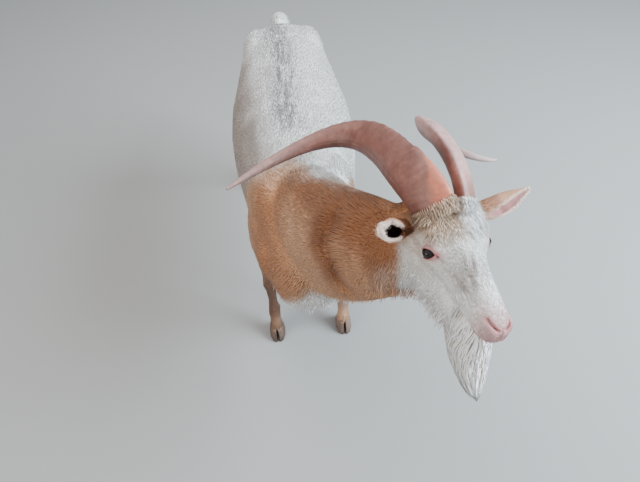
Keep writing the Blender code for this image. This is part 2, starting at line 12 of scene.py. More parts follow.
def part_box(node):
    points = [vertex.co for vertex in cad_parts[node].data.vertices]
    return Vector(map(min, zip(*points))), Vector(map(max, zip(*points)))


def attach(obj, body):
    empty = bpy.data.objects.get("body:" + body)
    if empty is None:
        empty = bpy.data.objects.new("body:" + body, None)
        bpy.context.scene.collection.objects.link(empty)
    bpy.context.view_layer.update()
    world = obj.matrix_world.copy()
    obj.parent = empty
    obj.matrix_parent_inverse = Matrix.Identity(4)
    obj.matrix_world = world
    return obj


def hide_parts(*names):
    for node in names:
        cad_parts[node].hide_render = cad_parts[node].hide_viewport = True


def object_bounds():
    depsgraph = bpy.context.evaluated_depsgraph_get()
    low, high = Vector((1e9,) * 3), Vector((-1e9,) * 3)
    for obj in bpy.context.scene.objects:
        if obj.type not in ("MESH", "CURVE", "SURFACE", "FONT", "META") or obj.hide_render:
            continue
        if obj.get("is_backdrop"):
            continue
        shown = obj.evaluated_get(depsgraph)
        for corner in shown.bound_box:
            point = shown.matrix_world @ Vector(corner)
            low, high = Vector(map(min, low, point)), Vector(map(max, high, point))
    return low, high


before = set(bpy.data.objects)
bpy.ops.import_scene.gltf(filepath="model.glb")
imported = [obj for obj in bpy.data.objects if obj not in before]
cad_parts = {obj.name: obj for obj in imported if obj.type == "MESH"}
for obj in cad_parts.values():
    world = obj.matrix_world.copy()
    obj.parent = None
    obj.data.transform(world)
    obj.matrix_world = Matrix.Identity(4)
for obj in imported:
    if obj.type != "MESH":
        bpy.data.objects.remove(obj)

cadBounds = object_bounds()
sides = {"left": 1.0, "right": -1.0}

pose = {
    "poll": (0.231, -0.252, 0.839),  # in the goat's frame, with the withers over the origin
    "yaw": 9.0,
    "lift": 3.6,
    "roll": 3.8,
    "eye": (0.049, -0.113, 0.016),  # left eye in the head's frame
}
headTurn = np.array(
    Matrix.Rotation(math.radians(pose["yaw"]), 3, "Z")
    @ Matrix.Rotation(math.radians(-pose["lift"]), 3, "X")
    @ Matrix.Rotation(math.radians(pose["roll"]), 3, "Y")
)
eyeMiddles = [np.mean([np.array(corner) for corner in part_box("eye_" + side)], axis=0) for side in sides]
betweenEyes = np.array([0.0, pose["eye"][1], pose["eye"][2]])
pollPlace = np.mean(eyeMiddles, axis=0) - headTurn @ betweenEyes
goatShift = pollPlace - np.array(pose["poll"])  # from the goat's frame to the model's


def toHead(points):
    return (points - pollPlace) @ headTurn


def fromHead(points):
    return points @ headTurn.T + pollPlace


def folded(head):
    # the same place on the left half of the face
    return np.column_stack([np.abs(head[:, 0]), head[:, 1:]])


def ramp(low, high, value):
    # eases from 0 at low to 1 at high
    t = np.clip((value - low) / (high - low), 0.0, 1.0)
    return t * t * (3.0 - 2.0 * t)


def near(value, spread, middle=0.0):
    # 1 at the middle, falling off on both sides
    return np.exp(-(((value - middle) / spread) ** 2))


def unit(vectors):
    return vectors / np.maximum(np.linalg.norm(vectors, axis=-1, keepdims=True), 1e-9)


def blend(first, second, share):
    share = np.asarray(share, float)[:, None]
    return np.asarray(first) * (1 - share) + np.asarray(second) * share


def offAxis(vectors, axes):
    # what is left of the vectors across the axes, at length 1
    return unit(vectors - axes * np.sum(vectors * axes, axis=-1, keepdims=True))


def softNoise(points, size, seed):
    # smooth value noise from 0 to 1
    grid = points / size
    cell = np.floor(grid).astype(np.int64)
    part = grid - cell
    part = part * part * (3.0 - 2.0 * part)
    total = np.zeros(len(points))
    for corner in range(8):
        step = np.array([corner & 1, (corner >> 1) & 1, corner >> 2])
        key = (cell + step) * np.array([73856093, 19349663, 83492791])
        key = (key[:, 0] ^ key[:, 1] ^ key[:, 2]) + seed * 7919
        key = ((key ^ (key >> 13)) * 1274126177) & 0x7FFFFFFF
        key = ((key ^ (key >> 11)) * 668265263) & 0x7FFFFFFF
        weight = np.prod(np.where(step == 1, part, 1.0 - part), axis=1)
        total += weight * (key % 65521) / 65521.0
    return total


def segmentDistance(points, start, end):
    start, end = np.array(start), np.array(end)
    along = np.clip((points - start) @ (end - start) / np.dot(end - start, end - start), 0.0, 1.0)
    return np.linalg.norm(points - start - along[:, None] * (end - start), axis=1)


def pathDistance(points, path):
    return np.min([segmentDistance(points, a, b) for a, b in zip(path, path[1:])], axis=0)


def moved(path, x, y, z):
    return [(p[0] + x, p[1] + y, p[2] + z) for p in path]


class Paint:
    # a colour for each point, and others laid over it
    def __init__(self, shades, base, count):
        self.shades = shades
        self.colour = np.tile(np.array(shades[base]), (count, 1))

    def lay(self, name, weight):
        share = np.clip(np.broadcast_to(weight, len(self.colour)), 0.0, 1.0)
        self.colour = blend(self.colour, self.shades[name], share)


def linked(name, data):
    obj = bpy.data.objects.new(name, data)
    bpy.context.scene.collection.objects.link(obj)
    return obj


def meshObject(name, points, faces):
    data = bpy.data.meshes.new(name)
    data.from_pydata(np.asarray(points).tolist(), [], faces)
    data.update()
    return linked(name, data)


def triangleObject(name, points, triangles):
    # a large triangle mesh from arrays
    data = bpy.data.meshes.new(name)
    data.vertices.add(len(points))
    data.vertices.foreach_set("co", np.asarray(points, np.float32).ravel())
    data.loops.add(3 * len(triangles))
    data.loops.foreach_set("vertex_index", np.asarray(triangles, np.int32).ravel())
    data.polygons.add(len(triangles))
    data.polygons.foreach_set("loop_start", np.arange(0, 3 * len(triangles), 3, dtype=np.int32))
    data.polygons.foreach_set("use_smooth", np.ones(len(triangles), bool))
    data.update(calc_edges=True)
    return linked(name, data)


def fetched(items, key, size=3, kind=np.float32):
    found = np.empty(size * len(items), kind)
    items.foreach_get(key, found)
    return found.reshape(-1, size)


def pointsOf(obj):
    return fetched(obj.data.vertices, "co").astype(float)


def normalsOf(obj):
    return fetched(obj.data.vertex_normals, "vector").astype(float)


def trianglesOf(obj):
    obj.data.calc_loop_triangles()
    return fetched(obj.data.loop_triangles, "vertices", kind=np.int32)


def vectorsOf(obj, name):
    return fetched(obj.data.attributes[name].data, "vector").astype(float)


def setPoints(obj, points):
    obj.data.vertices.foreach_set("co", np.asarray(points, np.float32).ravel())
    obj.data.update()


def setVectors(obj, name, vectors):
    attribute = obj.data.attributes.new(name, "FLOAT_VECTOR", "POINT")
    attribute.data.foreach_set("vector", np.asarray(vectors, np.float32).ravel())


def setColours(obj, name, colours):
    attribute = obj.data.attributes.new(name, "FLOAT_COLOR", "POINT")
    packed = np.ones((len(colours), 4), np.float32)
    packed[:, :3] = np.clip(colours, 0.0, 1.0)
    attribute.data.foreach_set("color", packed.ravel())


@contextmanager
def editing(data):
    mesh = bmesh.new()
    mesh.from_mesh(data)
    yield mesh
    mesh.to_mesh(data)
    mesh.free()


def faceOut(obj):
    with editing(obj.data) as mesh:
        bmesh.ops.recalc_face_normals(mesh, faces=mesh.faces)
    obj.data.shade_smooth()
    return obj


def deselectAll():
    for obj in bpy.context.selected_objects:
        obj.select_set(False)


def modified(obj, kind, **settings):
    deselectAll()
    modifier = obj.modifiers.new(kind.title(), kind)
    for key, value in settings.items():
        setattr(modifier, key, value)
    bpy.context.view_layer.objects.active = obj
    obj.select_set(True)
    bpy.ops.object.modifier_apply(modifier=modifier.name)
    obj.select_set(False)


def remeshed(obj, voxel, rounds):
    modified(obj, "REMESH", mode="VOXEL", voxel_size=voxel, use_smooth_shade=True)
    if obj.name == "skin":
        keepLargest(obj)
    modified(obj, "SMOOTH", factor=0.5, iterations=rounds)


def nodeCopy(name, grow=0.0):
    # a merged copy of a CAD node's mesh, every point moved out along its normal
    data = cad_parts[name].data.copy()
    with editing(data) as mesh:
        bmesh.ops.remove_doubles(mesh, verts=mesh.verts, dist=1e-5)
        mesh.normal_update()
        for vertex, place in [(vertex, vertex.co + vertex.normal * grow) for vertex in mesh.verts]:
            vertex.co = place
    return linked(name + "_copy", data)


def joined(name, objects):
    deselectAll()
    for obj in objects:
        obj.select_set(True)
    bpy.context.view_layer.objects.active = objects[0]
    bpy.ops.object.join()
    made = bpy.context.view_layer.objects.active
    made.name = made.data.name = name
    made.data.materials.clear()
    made.select_set(False)
    return made


def keepLargest(obj):
    with editing(obj.data) as mesh:
        unseen, bodies = set(mesh.verts), []
        while unseen:
            body, front = [], [unseen.pop()]
            while front:
                vertex = front.pop()
                body.append(vertex)
                fresh = {edge.other_vert(vertex) for edge in vertex.link_edges} & unseen
                unseen -= fresh
                front += fresh
            bodies.append(body)
        bodies.sort(key=len)
        bmesh.ops.delete(mesh, geom=[vertex for body in bodies[:-1] for vertex in body], context="VERTS")


def subdivideWhere(obj, chosen):
    # splits the edges between chosen points, and rounds them
    with editing(obj.data) as mesh:
        mesh.verts.ensure_lookup_table()
        edges = [edge for edge in mesh.edges if all(chosen[vertex.index] for vertex in edge.verts)]
        bmesh.ops.subdivide_edges(mesh, edges=edges, cuts=1, use_grid_fill=True, smooth=0.6)
        bmesh.ops.triangulate(mesh, faces=[face for face in mesh.faces if len(face.verts) > 4])


def finished(obj, material, replaced=()):
    obj.data.materials.clear()
    obj.data.materials.append(material)
    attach(obj, "root")
    if replaced:
        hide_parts(*replaced)


def addNode(tree, kind, **settings):
    node = tree.nodes.new(kind)
    for key, value in settings.items():
        if key in node.inputs:
            node.inputs[key].default_value = value
        else:
            setattr(node, key, value)
    return node


def newMaterial(name, **settings):
    material = bpy.data.materials.new(name)
    material.use_nodes = True
    shader = material.node_tree.nodes["Principled BSDF"]
    for key, value in settings.items():
        shader.inputs[key.replace("_", " ")].default_value = value
    return material, material.node_tree, shader


def scaledBy(tree, colour, factor):
    node = addNode(tree, "ShaderNodeVectorMath", operation="SCALE")
    tree.links.new(colour, node.inputs[0])
    tree.links.new(factor, node.inputs["Scale"])
    return node.outputs["Vector"]


def surface(name, tone, tints=(), relief=None, lie=None, stretch=(1.0, 1.0, 1.0), **settings):
    # takes its colour from an attribute, made lighter and darker by noise of each (size, low, high)
    material, tree, shader = newMaterial(name, **settings)
    colour = addNode(tree, "ShaderNodeAttribute", attribute_name=tone).outputs["Color"]
    if tints:
        where = addNode(tree, "ShaderNodeMapping", Scale=stretch)
        if lie:
            source = addNode(tree, "ShaderNodeAttribute", attribute_name=lie).outputs["Vector"]
        else:
            source = addNode(tree, "ShaderNodeTexCoord").outputs["Object"]
        tree.links.new(source, where.inputs["Vector"])
    for size, low, high in tints:
        noise = addNode(tree, "ShaderNodeTexNoise", Scale=1.0 / size, Detail=4.0)
        tree.links.new(where.outputs["Vector"], noise.inputs["Vector"])
        limits = {"From Min": 0.3, "From Max": 0.7, "To Min": low, "To Max": high}
        spread = addNode(tree, "ShaderNodeMapRange", **limits)
        tree.links.new(noise.outputs["Fac"], spread.inputs["Value"])
        colour = scaledBy(tree, colour, spread.outputs["Result"])
    tree.links.new(colour, shader.inputs["Base Color"])
    if relief:
        node = addNode(tree, "ShaderNodeBump", Distance=relief[0], Strength=relief[1])
        tree.links.new(noise.outputs["Fac"], node.inputs["Height"])
        tree.links.new(node.outputs["Normal"], shader.inputs["Normal"])
    return material


# the skin

fleshNames = ["head", "neck", "trunk", "tail"]
fleshNames += [f"{leg}_{side}" for leg in ("foreleg", "hindleg", "foreleg_lower", "hindleg_lower") for side in sides]

skinSize = {
    "voxel": 0.007,
    "overlap": 0.001,  # closes the thin cuts between the members
    "bodyDepth": 0.0085,
    "neckDepth": 0.0095,
    "upperLegDepth": 0.006,
    "lowerLegDepth": 0.0016,
    "tailDepth": 0.009,
    "headDepth": 0.0042,
    "faceDepth": 0.0022,
    "finer": (  # where the mesh is split: ahead of y, above z, within x, and round an eye by its place aside and reach
        (0.03, -0.125, 0.085, 0.0, 0.0),
        (-0.185, -0.1, 1.0, 0.056, 0.029),
        (-0.245, -0.058, 1.0, 0.058, 0.0235),
    ),
}


def isPart(labels, word):
    return np.isin(labels, [number for number, name in enumerate(fleshNames) if word in name])


def nodeLabels(points):
    # which member each point belongs to
    tree = KDTree(sum(4 * len(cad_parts[name].data.polygons) for name in fleshNames))
    labels = []
    for number, name in enumerate(fleshNames):
        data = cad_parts[name].data
        for face in data.polygons:
            for place in [data.vertices[index].co for index in face.vertices] + [face.center]:
                tree.insert(place, len(labels))
                labels.append(number)
    tree.balance()
    return np.array([labels[tree.find(point)[1]] for point in points])


def eyeGap(head, aside=0.058):
    places = [np.array([side * aside, -0.119, 0.016]) for side in sides.values()]
    return np.min([np.linalg.norm(head - place, axis=1) for place in places], axis=0)


def makeSkin():
    copies = [nodeCopy(name, skinSize["overlap"]) for name in fleshNames]
    copies += [nodeCopy("eye_" + side) for side in sides]
    skin = joined("skin", copies)
    remeshed(skin, skinSize["voxel"], 7)
    for front, floor, half, aside, reach in skinSize["finer"]:
        head = toHead(pointsOf(skin))
        chosen = (head[:, 1] < front) & (head[:, 2] > floor) & (np.abs(head[:, 0]) < half)
        subdivideWhere(skin, chosen | (eyeGap(head, aside) < reach))
    return skin


eyeSize = {
    "ball": 0.0141,
    "lid": 0.0156,
    "halfLength": 0.0154,
    "upper": 0.0104,
    "lower": 0.0084,
    "shift": -0.0012,  # the slit's middle, ahead of the ball's
    "outward": (0.84, -0.44, 0.28),
    "forward": (0.0, -1.0, 0.72),
    "back": 0.0052,
    "around": 0.034,  # how far from the eye the skin is shaped
    "drape": 0.0035,  # how softly the lids lie over the ball
    "sunk": 0.0046,
    "bulge": 0.0011,
}
tearCorner = eyeSize["shift"] + eyeSize["halfLength"]


def eyeFrame(side):
    # outward axis, forward along the slit and up across it, and the middle of the ball
    outward = unit(np.array(eyeSize["outward"]) * [side, 1, 1])
    forward = offAxis(np.array(eyeSize["forward"]), outward)
    rise = np.cross(outward, forward)
    rise = -rise if rise[2] < 0 else rise
    return outward, forward, rise, np.array(pose["eye"]) * [side, 1, 1] - eyeSize["back"] * forward


def eyeLocal(head, side):
    outward, forward, rise, middle = eyeFrame(side)
    return [(head - middle) @ axis for axis in (forward, rise, outward)]


def slitEdge(ahead, rise):
    # how far inside the eye's opening a place is, in metres, and negative outside
    t = np.clip((ahead - eyeSize["shift"]) / eyeSize["halfLength"], -1.0, 1.0)
    arch = np.clip(1.0 - t * t, 0.0, 1.0) ** 0.8
    top = eyeSize["upper"] * arch + 0.0004 * t
    bottom = -eyeSize["lower"] * arch - 0.001 * t
    beyond = np.maximum(np.abs(ahead - eyeSize["shift"]) - eyeSize["halfLength"], 0.0)
    return np.minimum(top - rise, rise - bottom) - beyond


mouthPath = [
    (0.0, -0.279, -0.031), (0.012, -0.272, -0.034), (0.022, -0.25, -0.04),
    (0.027, -0.225, -0.043), (0.03, -0.2, -0.043),
]
nostrilPath = [(0.0075, -0.2775, 0.0), (0.013, -0.2715, 0.0035), (0.018, -0.263, 0.0075), (0.0195, -0.256, 0.0085)]
cheekBonePath = [(0.055, -0.085, -0.012), (0.05, -0.125, -0.012), (0.036, -0.165, -0.016)]
hollowPath = [(0.047, -0.15, 0.006), (0.033, -0.2, 0.002)]


def sculptHead(skin):
    points, normals = pointsOf(skin), normalsOf(skin)
    head = toHead(points)
    chosen = np.where((head[:, 1] < 0.02) & (np.abs(head[:, 0]) < 0.1) & (head[:, 2] > -0.12))[0]
    place, outwards = head[chosen].copy(), (normals @ headTurn)[chosen]
    half = folded(place)
    wing = pathDistance(half, moved(nostrilPath, 0.002, 0, 0.0045))
    move = -0.008 * near(pathDistance(half, nostrilPath), 0.0023) + 0.0016 * near(wing, 0.0036)
    front = ramp(0.262, 0.274, -place[:, 1])
    move += -0.0016 * near(half[:, 0], 0.0014) * front * ramp(0.004, -0.004, place[:, 2])  # the split upper lip
    lips = pathDistance(half, mouthPath)
    move += -0.0032 * near(lips, 0.0015) + 0.0012 * near(lips, 0.0035, 0.0055)
    cheekBone, hollow = pathDistance(half, cheekBonePath), pathDistance(half, hollowPath)
    move += 0.0018 * near(cheekBone, 0.009) - 0.0008 * near(hollow, 0.012)
    jawMuscle = np.linalg.norm((half - [0.056, -0.055, -0.035]) / [0.5, 1.0, 1.2], axis=1)
    place += outwards * (move + 0.0015 * near(jawMuscle, 0.024))[:, None]
    for side in sides.values():
        outward, forward, rise, middle = eyeFrame(side)
        ahead, up, out = eyeLocal(place, side)
        radius = np.hypot(ahead, up)
        close = (radius < eyeSize["around"]) & (out > -0.004)
        dome = np.sqrt(np.maximum(eyeSize["lid"] ** 2 - radius**2, 0.0))
        dome = np.where(radius < eyeSize["lid"], dome, -0.02)
        # the lids drape over the ball: a soft maximum of skin and ball
        share = np.clip(0.5 + 0.5 * (dome - out) / eyeSize["drape"], 0.0, 1.0)
        draped = out * (1 - share) + dome * share + eyeSize["drape"] * share * (1 - share)
        inside = slitEdge(ahead, up)
        rim = 0.0007 * near(inside, 0.001, -0.0009)
        fold = -0.001 * near(inside, 0.0012, -0.0052) * ramp(-0.002, 0.004, up)
        fold += -0.0007 * near(inside, 0.0012, -0.005) * ramp(0.002, -0.004, up)
        sunk = eyeSize["sunk"] * ramp(0.0, 0.0013, inside)
        tear, steps = ahead - tearCorner, np.linspace(0, 1, 7)
        groove = np.min([np.hypot(tear - t * 0.0075, up + 0.0005 + t * 0.0042) for t in steps], axis=0)
        wanted = draped + rim + fold - sunk - 0.0022 * near(groove, 0.0017)
        out = np.where(close, out + (wanted - out) * ramp(eyeSize["around"], 0.026, radius), out)
        place = middle + ahead[:, None] * forward + up[:, None] * rise + out[:, None] * outward
    points[chosen] = fromHead(place)
    setPoints(skin, points)


neckStart, neckEnd = np.array([0.0, -0.03, 0.6]), np.array([0.222, -0.3, 0.785])
neckCrease = [
    (0.047, -0.236, 0.816), (0.032, -0.247, 0.793), (0.022, -0.261, 0.759),
    (0.034, -0.283, 0.731), (0.045, -0.297, 0.689), (0.062, -0.306, 0.65),
]


def neckAlong(goat):
    axis = neckEnd - neckStart
    return (goat - neckStart) @ axis / (axis @ axis)


def sinkSkin(skin, labels):
    # moves the skin in from the coat's tips to the roots
    points, normals = pointsOf(skin), normalsOf(skin)
    goat, head = points - goatShift, toHead(points)
    depths = {"head": "headDepth", "neck": "neckDepth", "trunk": "bodyDepth", "tail": "tailDepth"}
    legs = {name: "lowerLegDepth" if "lower" in name else "upperLegDepth" for name in fleshNames}
    depth = np.array([skinSize[depths.get(name, legs[name])] for name in fleshNames])[labels]
    face = ramp(-0.06, -0.15, head[:, 1])
    isHead = isPart(labels, "head")
    depth = np.where(isHead, skinSize["headDepth"] * (1 - face) + skinSize["faceDepth"] * face, depth)
    # evens out the steps between members
    ends = fetched(skin.data.edges, "vertices", 2, np.int32)
    count = np.bincount(ends.ravel(), minlength=len(points))
    for _ in range(14):
        total = sum(np.bincount(ends[:, k], depth[ends[:, 1 - k]], len(points)) for k in (0, 1))
        depth = 0.4 * depth + 0.6 * total / np.maximum(count, 1)
    neckShare = ramp(0.1, 0.35, neckAlong(goat)) * (1 - isHead)
    depth += 0.005 * near(pathDistance(goat, neckCrease), 0.018) * neckShare
    second = pathDistance(goat, moved(neckCrease, 0.052, -0.03, 0.006))
    depth += 0.0018 * near(second, 0.018) * neckShare
    setPoints(skin, points - normals * (depth + skinSize["overlap"])[:, None])


# the markings, with painted shade in places, the same for skin and coat

shades = {
    "white": (0.84, 0.83, 0.81),
    "cream": (0.52, 0.395, 0.285),
    "lightTan": (0.6, 0.345, 0.2),
    "tan": (0.435, 0.19, 0.084),
    "deepTan": (0.185, 0.062, 0.022),
    "grey": (0.2, 0.18, 0.175),
    # the right flank's grey-tan, darkened further as painted shade
    "flankToneAndShade": (0.29, 0.205, 0.16),
    "brown": (0.07, 0.034, 0.021),
    "pink": (0.47, 0.15, 0.15),
    "palePink": (0.66, 0.43, 0.41),
    "nasal": (0.225, 0.165, 0.14),
    "dark": (0.03, 0.015, 0.018),
}


def markingsAndShade(points):
    goat, head = points - goatShift, toHead(points)
    x, y, z = goat.T
    side, ahead, up = head[:, 0], -head[:, 1], head[:, 2]
    wide = softNoise(points, 0.045, 3) - 0.5
    soft = softNoise(points, 0.016, 5) - 0.5
    streaks = softNoise(points * [1.0, 0.16, 1.0], 0.0065, 7) - 0.5
    paint = Paint(shades, "white", len(points))
    lay = paint.lay

    # grey coarse hairs along the back; the right flank grey-tan, partly its own tone and partly painted shade
    back = ramp(0.7, 0.775, z) * ramp(0.02, 0.12, y) * ramp(0.6, 0.46, y)
    lay("grey", back * near(x + 0.016, 0.048) * ramp(-0.6, 0.4, streaks + 0.3 * soft) * 0.8)
    # partly painted shade: the right flank, which turns away from the light, is laid darker
    flankToneAndShade = ramp(0.01, -0.12, x + 0.05 * wide) * ramp(0.8, 0.68, z + 0.05 * wide)
    lay("flankToneAndShade", flankToneAndShade * ramp(-0.14, -0.02, y) * ramp(0.68, 0.36, y + 0.1 * wide) * 0.82)
    lay("cream", ramp(0.62, 0.5, z) * ramp(-0.05, 0.1, y) * ramp(0.4, 0.5, z) * 0.35 * (0.6 + soft))

    # tan neck and shoulders, deeper on the nape, with painted shade in the neck's crease
    along = neckAlong(goat)
    edge = -0.068 + 0.45 * (0.8 - z) + 0.75 * np.maximum(0.6 - z, 0.0)
    edge -= 0.075 * ramp(-0.02, 0.07, x) * ramp(0.66, 0.76, z)
    tanHere = ramp(edge + 0.055, edge - 0.045, y + 0.06 * wide + 0.02 * soft)
    cheekEdge = 0.985 - 0.68 * np.clip(0.791 - z, -0.1, 0.2)
    tanHere *= ramp(cheekEdge + 0.1, cheekEdge - 0.04, along + 0.2 * wide)
    tanHere *= ramp(0.535, 0.6, z + 0.05 * wide + 0.35 * np.maximum(y + 0.13, 0.0) + 0.1 * ramp(0.0, -0.08, x))
    lay("tan", tanHere)
    lay("lightTan", near(tanHere, 0.28, 0.5) * tanHere)
    lay("lightTan", tanHere * ramp(-0.12, -0.01, y) * ramp(0.02, -0.08, x) * 0.75)
    lay("lightTan", tanHere * (near(along, 0.15, 0.4) + 0.8 * near(along, 0.07, 0.8)) * ramp(0.8, 0.74, z) * 0.85)
    lay("deepTan", tanHere * ramp(0.73, 0.83, z + 0.06 * wide) * ramp(0.03, -0.1, y) * 0.62)
    crease = pathDistance(goat, neckCrease)
    lay("lightTan", tanHere * near(crease, 0.022, 0.048) * ramp(0.81, 0.77, z) * 0.5)
    # painted shade: darker in the neck's crease and in the fold behind it
    lay("deepTan", tanHere * near(crease, 0.024) * ramp(0.64, 0.7, z) * 0.98)
    lay("brown", tanHere * near(crease, 0.013) * ramp(0.65, 0.71, z) * 0.85)
    lay("deepTan", tanHere * near(pathDistance(goat, moved(neckCrease, 0.05, -0.03, 0.006)), 0.014) * 0.4)

    # forelegs tan to the knee and brown below, browner on the right leg partly as painted shade, with a pale left foot
    leg = ramp(0.45, 0.39, z) * ramp(0.25, 0.15, y)
    lay("tan", leg * 0.75)
    # the right leg's extra brown is partly painted shade
    lay("brown", leg * ramp(0.42, 0.26, z) * np.where(x < 0, 0.8, 0.45))
    lay("lightTan", leg * ramp(0.13, 0.08, z) * np.where(x > 0, 0.8, 0.2))
    hind = ramp(0.36, 0.24, z) * ramp(0.35, 0.45, y)
    lay("cream", hind * 0.55)
    lay("brown", hind * ramp(0.14, 0.05, z) * 0.35)

    # the head: tan behind, cream brow, pink muzzle
    half = folded(head)
    m = half[:, 0]
    isHead = ramp(0.055, 0.015, -ahead) * ramp(-0.135, -0.1, up) * ramp(0.085, 0.065, m)
    lay("white", isHead * ramp(0.02, 0.06, ahead))
    nape = (0.058 + 0.52 * (up - 0.01)) * np.where(side < 0, 1.0, 0.45)
    lay("tan", isHead * (ramp(0.022, -0.022, ahead - nape + 0.1 * wide * 0.3) * ramp(-0.1, -0.07, up)) * 0.95)
    lay("lightTan", isHead * (near(ahead, 0.04, 0.045) * ramp(0.03, 0.052, up)) * ramp(0.016, -0.01, side) * 0.8)
    hornFoot = isHead * near(m, 0.013, 0.052) * near(ahead, 0.022, 0.05) * ramp(0.02, 0.05, up)
    lay("deepTan", hornFoot * np.where(side < 0, 0.6, 0.25))
    brow = ramp(0.136, 0.098, ahead + 0.02 * streaks) * ramp(0.03, 0.06, ahead) * ramp(0.008, 0.04, up)
    lay("cream", isHead * brow * ramp(0.016, -0.008, side + 0.012 * streaks) * 0.8)
    lay("nasal", isHead * near(segmentDistance(head, (-0.005, -0.08, 0.062), (0.01, -0.128, 0.056)), 0.003) * 0.65)
    patch = near(np.hypot((ahead - 0.176) / 1.5, side + 0.014), 0.0235) * ramp(-0.02, 0.01, up)
    lay("nasal", isHead * patch * (0.58 + 0.9 * streaks))
    cheek = near(np.hypot((ahead - 0.078) / 1.3, (up + 0.012) / 1.2), 0.03) * (side < 0)
    lay("cream", isHead * cheek * (0.62 + 0.8 * streaks))
    lay("palePink", isHead * ramp(0.215, 0.262, ahead) * 0.72)
    lay("pink", isHead * ramp(0.255, 0.28, ahead) * ramp(0.02, 0.004, up) * 0.45)
    nostril, lips = pathDistance(half, nostrilPath), pathDistance(half, mouthPath)
    # pink round the nostrils and lips; the dark in the nostril slits and along the mouth's line is painted shade
    lay("pink", near(nostril, 0.0065) * 0.85)
    lay("dark", near(nostril, 0.0016) * 0.8)
    lay("pink", near(lips, 0.005) * 0.6 * ramp(0.205, 0.245, ahead))
    lay("dark", near(lips, 0.0011) * 0.55)
    for sign in sides.values():
        a, u, out = eyeLocal(head, sign)
        inside = slitEdge(a, u)
        here = (out > 0.0) & (np.hypot(a, u) < 0.04)
        tear = a - tearCorner
        lay("palePink", here * ramp(-0.03, -0.005, inside) * 0.75)
        # painted shade: a grey-brown ring on the lids round the opening
        lay("nasal", here * near(inside, 0.0022, -0.0036) * 0.35)
        lay("pink", here * ramp(-0.004, -0.0008, inside) * 0.9)
        lay("pink", here * near(np.hypot(tear - 0.004, u + 0.001), 0.0068) * 0.9)
        lay("dark", here * ramp(-0.001, 0.0004, inside) * 0.85)
        # a dark spot in the groove below the tear corner, and a faint dark line running on from it
        lay("dark", here * near(np.hypot(tear - 0.006, u + 0.0038), 0.0022) * 0.9)
        tearLineEnds = (tearCorner + 0.008, -0.006, 0), (tearCorner + 0.022, -0.018, 0)
        tearLine = segmentDistance(np.stack([a, u, 0 * a], axis=1), *tearLineEnds)
        lay("nasal", here * near(tearLine, 0.002) * 0.55)
    return paint.colour * (1.0 + 0.1 * soft + 0.06 * wide)[:, None]


def hairLie(points, normals, labels):
    # direction along the skin, and length, width, lift and number of locks per square metre
    goat, head = points - goatShift, toHead(points)
    half = folded(head)
    y, z, m, ahead, up = goat[:, 1], goat[:, 2], half[:, 0], -head[:, 1], head[:, 2]
    words = ("head", "neck", "trunk", "tail", "foreleg", "hindleg", "lower")
    isHead, isNeck, isTrunk, isTail, isFore, isHind, isLower = (isPart(labels, word) for word in words)
    isLeg = isFore | isHind
    flow = blend((0, 1, -0.1), (0, 0.8, -0.75), ramp(0.74, 0.56, z))
    flow = blend(flow, (0, 0.25, -1.0), ramp(0.56, 0.68, y))
    flow = blend(flow, (0, 1, -0.2), ramp(0.46, 0.4, z) * ramp(-0.1, 0.05, y))
    neckFlow = blend((-0.62, 0.72, -0.3), (-0.25, 0.35, -0.95), ramp(0.8, 0.66, z))
    flow = blend(flow, neckFlow, np.maximum(isNeck * 1.0, ramp(0.05, -0.2, y) * isTrunk * 0.8))
    flow = blend(flow, (0, 0.3, -1.0), isLeg * ramp(0.7, 0.55, z))
    flow = blend(flow, (0, 0.55, -0.85), isTail)
    cheek = ramp(0.022, 0.04, m) * ramp(0.035, 0.005, up)
    flat = np.zeros(len(points))
    noseFlow = np.column_stack([np.sign(head[:, 0]) * 0.3 * ramp(0.0, 0.02, m), flat - 1.0, flat - 0.1])
    cheekFlow = np.column_stack([flat, 0.7 - 1.6 * ramp(0.17, 0.27, ahead), flat - 0.8])
    faceFlow = blend(noseFlow, cheekFlow, cheek)
    faceFlow = blend(faceFlow, (0, 0.15, -1.0), ramp(-0.035, -0.06, up))
    faceFlow = blend(faceFlow, (0, 0.9, -0.5), ramp(0.06, 0.02, ahead) * (1 - cheek))
    flow = blend(flow, faceFlow @ headTurn.T, isHead)
    flow += 0.09 * (np.stack([softNoise(points, 0.07, seed) for seed in (11, 12, 13)], axis=1) - 0.5) * 2

    belly = ramp(0.48, 0.41, z) * isTrunk
    chest = ramp(-0.1, -0.22, y) * ramp(0.66, 0.56, z) * (isTrunk | isNeck)
    length = 0.024 + 0.01 * belly + 0.01 * chest + 0.003 * isNeck + 0.012 * isTail - 0.008 * isLeg - 0.007 * isLower
    width = 0.0021 - 0.0003 * isNeck - 0.0003 * isLeg - 0.0004 * isLower
    density = 84000.0 + 46000.0 * isNeck - 4000.0 * isLeg + 36000.0 * isLower + 20000 * isTail
    headLength = 0.0085 - 0.0035 * ramp(0.17, 0.25, ahead) - 0.0015 * ramp(0.25, 0.27, ahead)
    headLength += 0.015 * ramp(-0.045, -0.075, up) * ramp(0.25, 0.2, ahead)
    headLength += 0.01 * ramp(0.045, 0.0, ahead)
    headLength += 0.006 * ramp(0.045, 0.058, up) * ramp(0.13, 0.1, ahead)
    headLength *= 1 - 0.66 * ramp(0.036, 0.02, eyeGap(head))
    length = np.where(isHead, headLength, length)
    width = np.where(isHead, np.clip(0.0006 + 0.075 * headLength, 0.0006, 0.0021), width)
    lift = np.where(isHead, 0.13, 0.09 + 0.2 * belly + 0.15 * chest)
    density = np.where(isHead, 200000.0 + 260000.0 * ramp(0.007, 0.0035, headLength), density)
    bare = ramp(0.0055, 0.009, pathDistance(half, nostrilPath))
    bare = np.minimum(bare, ramp(0.0015, 0.004, pathDistance(half, mouthPath)))
    for side in sides.values():
        a, u, out = eyeLocal(head, side)
        rim = np.minimum(bare, ramp(-0.002, -0.0042, slitEdge(a, u)))
        bare = np.where((out > 0) & (np.abs(a) < 0.03), rim, bare)
    return offAxis(flow, normals), length, width, lift, density * np.where(isHead, bare, 1.0)


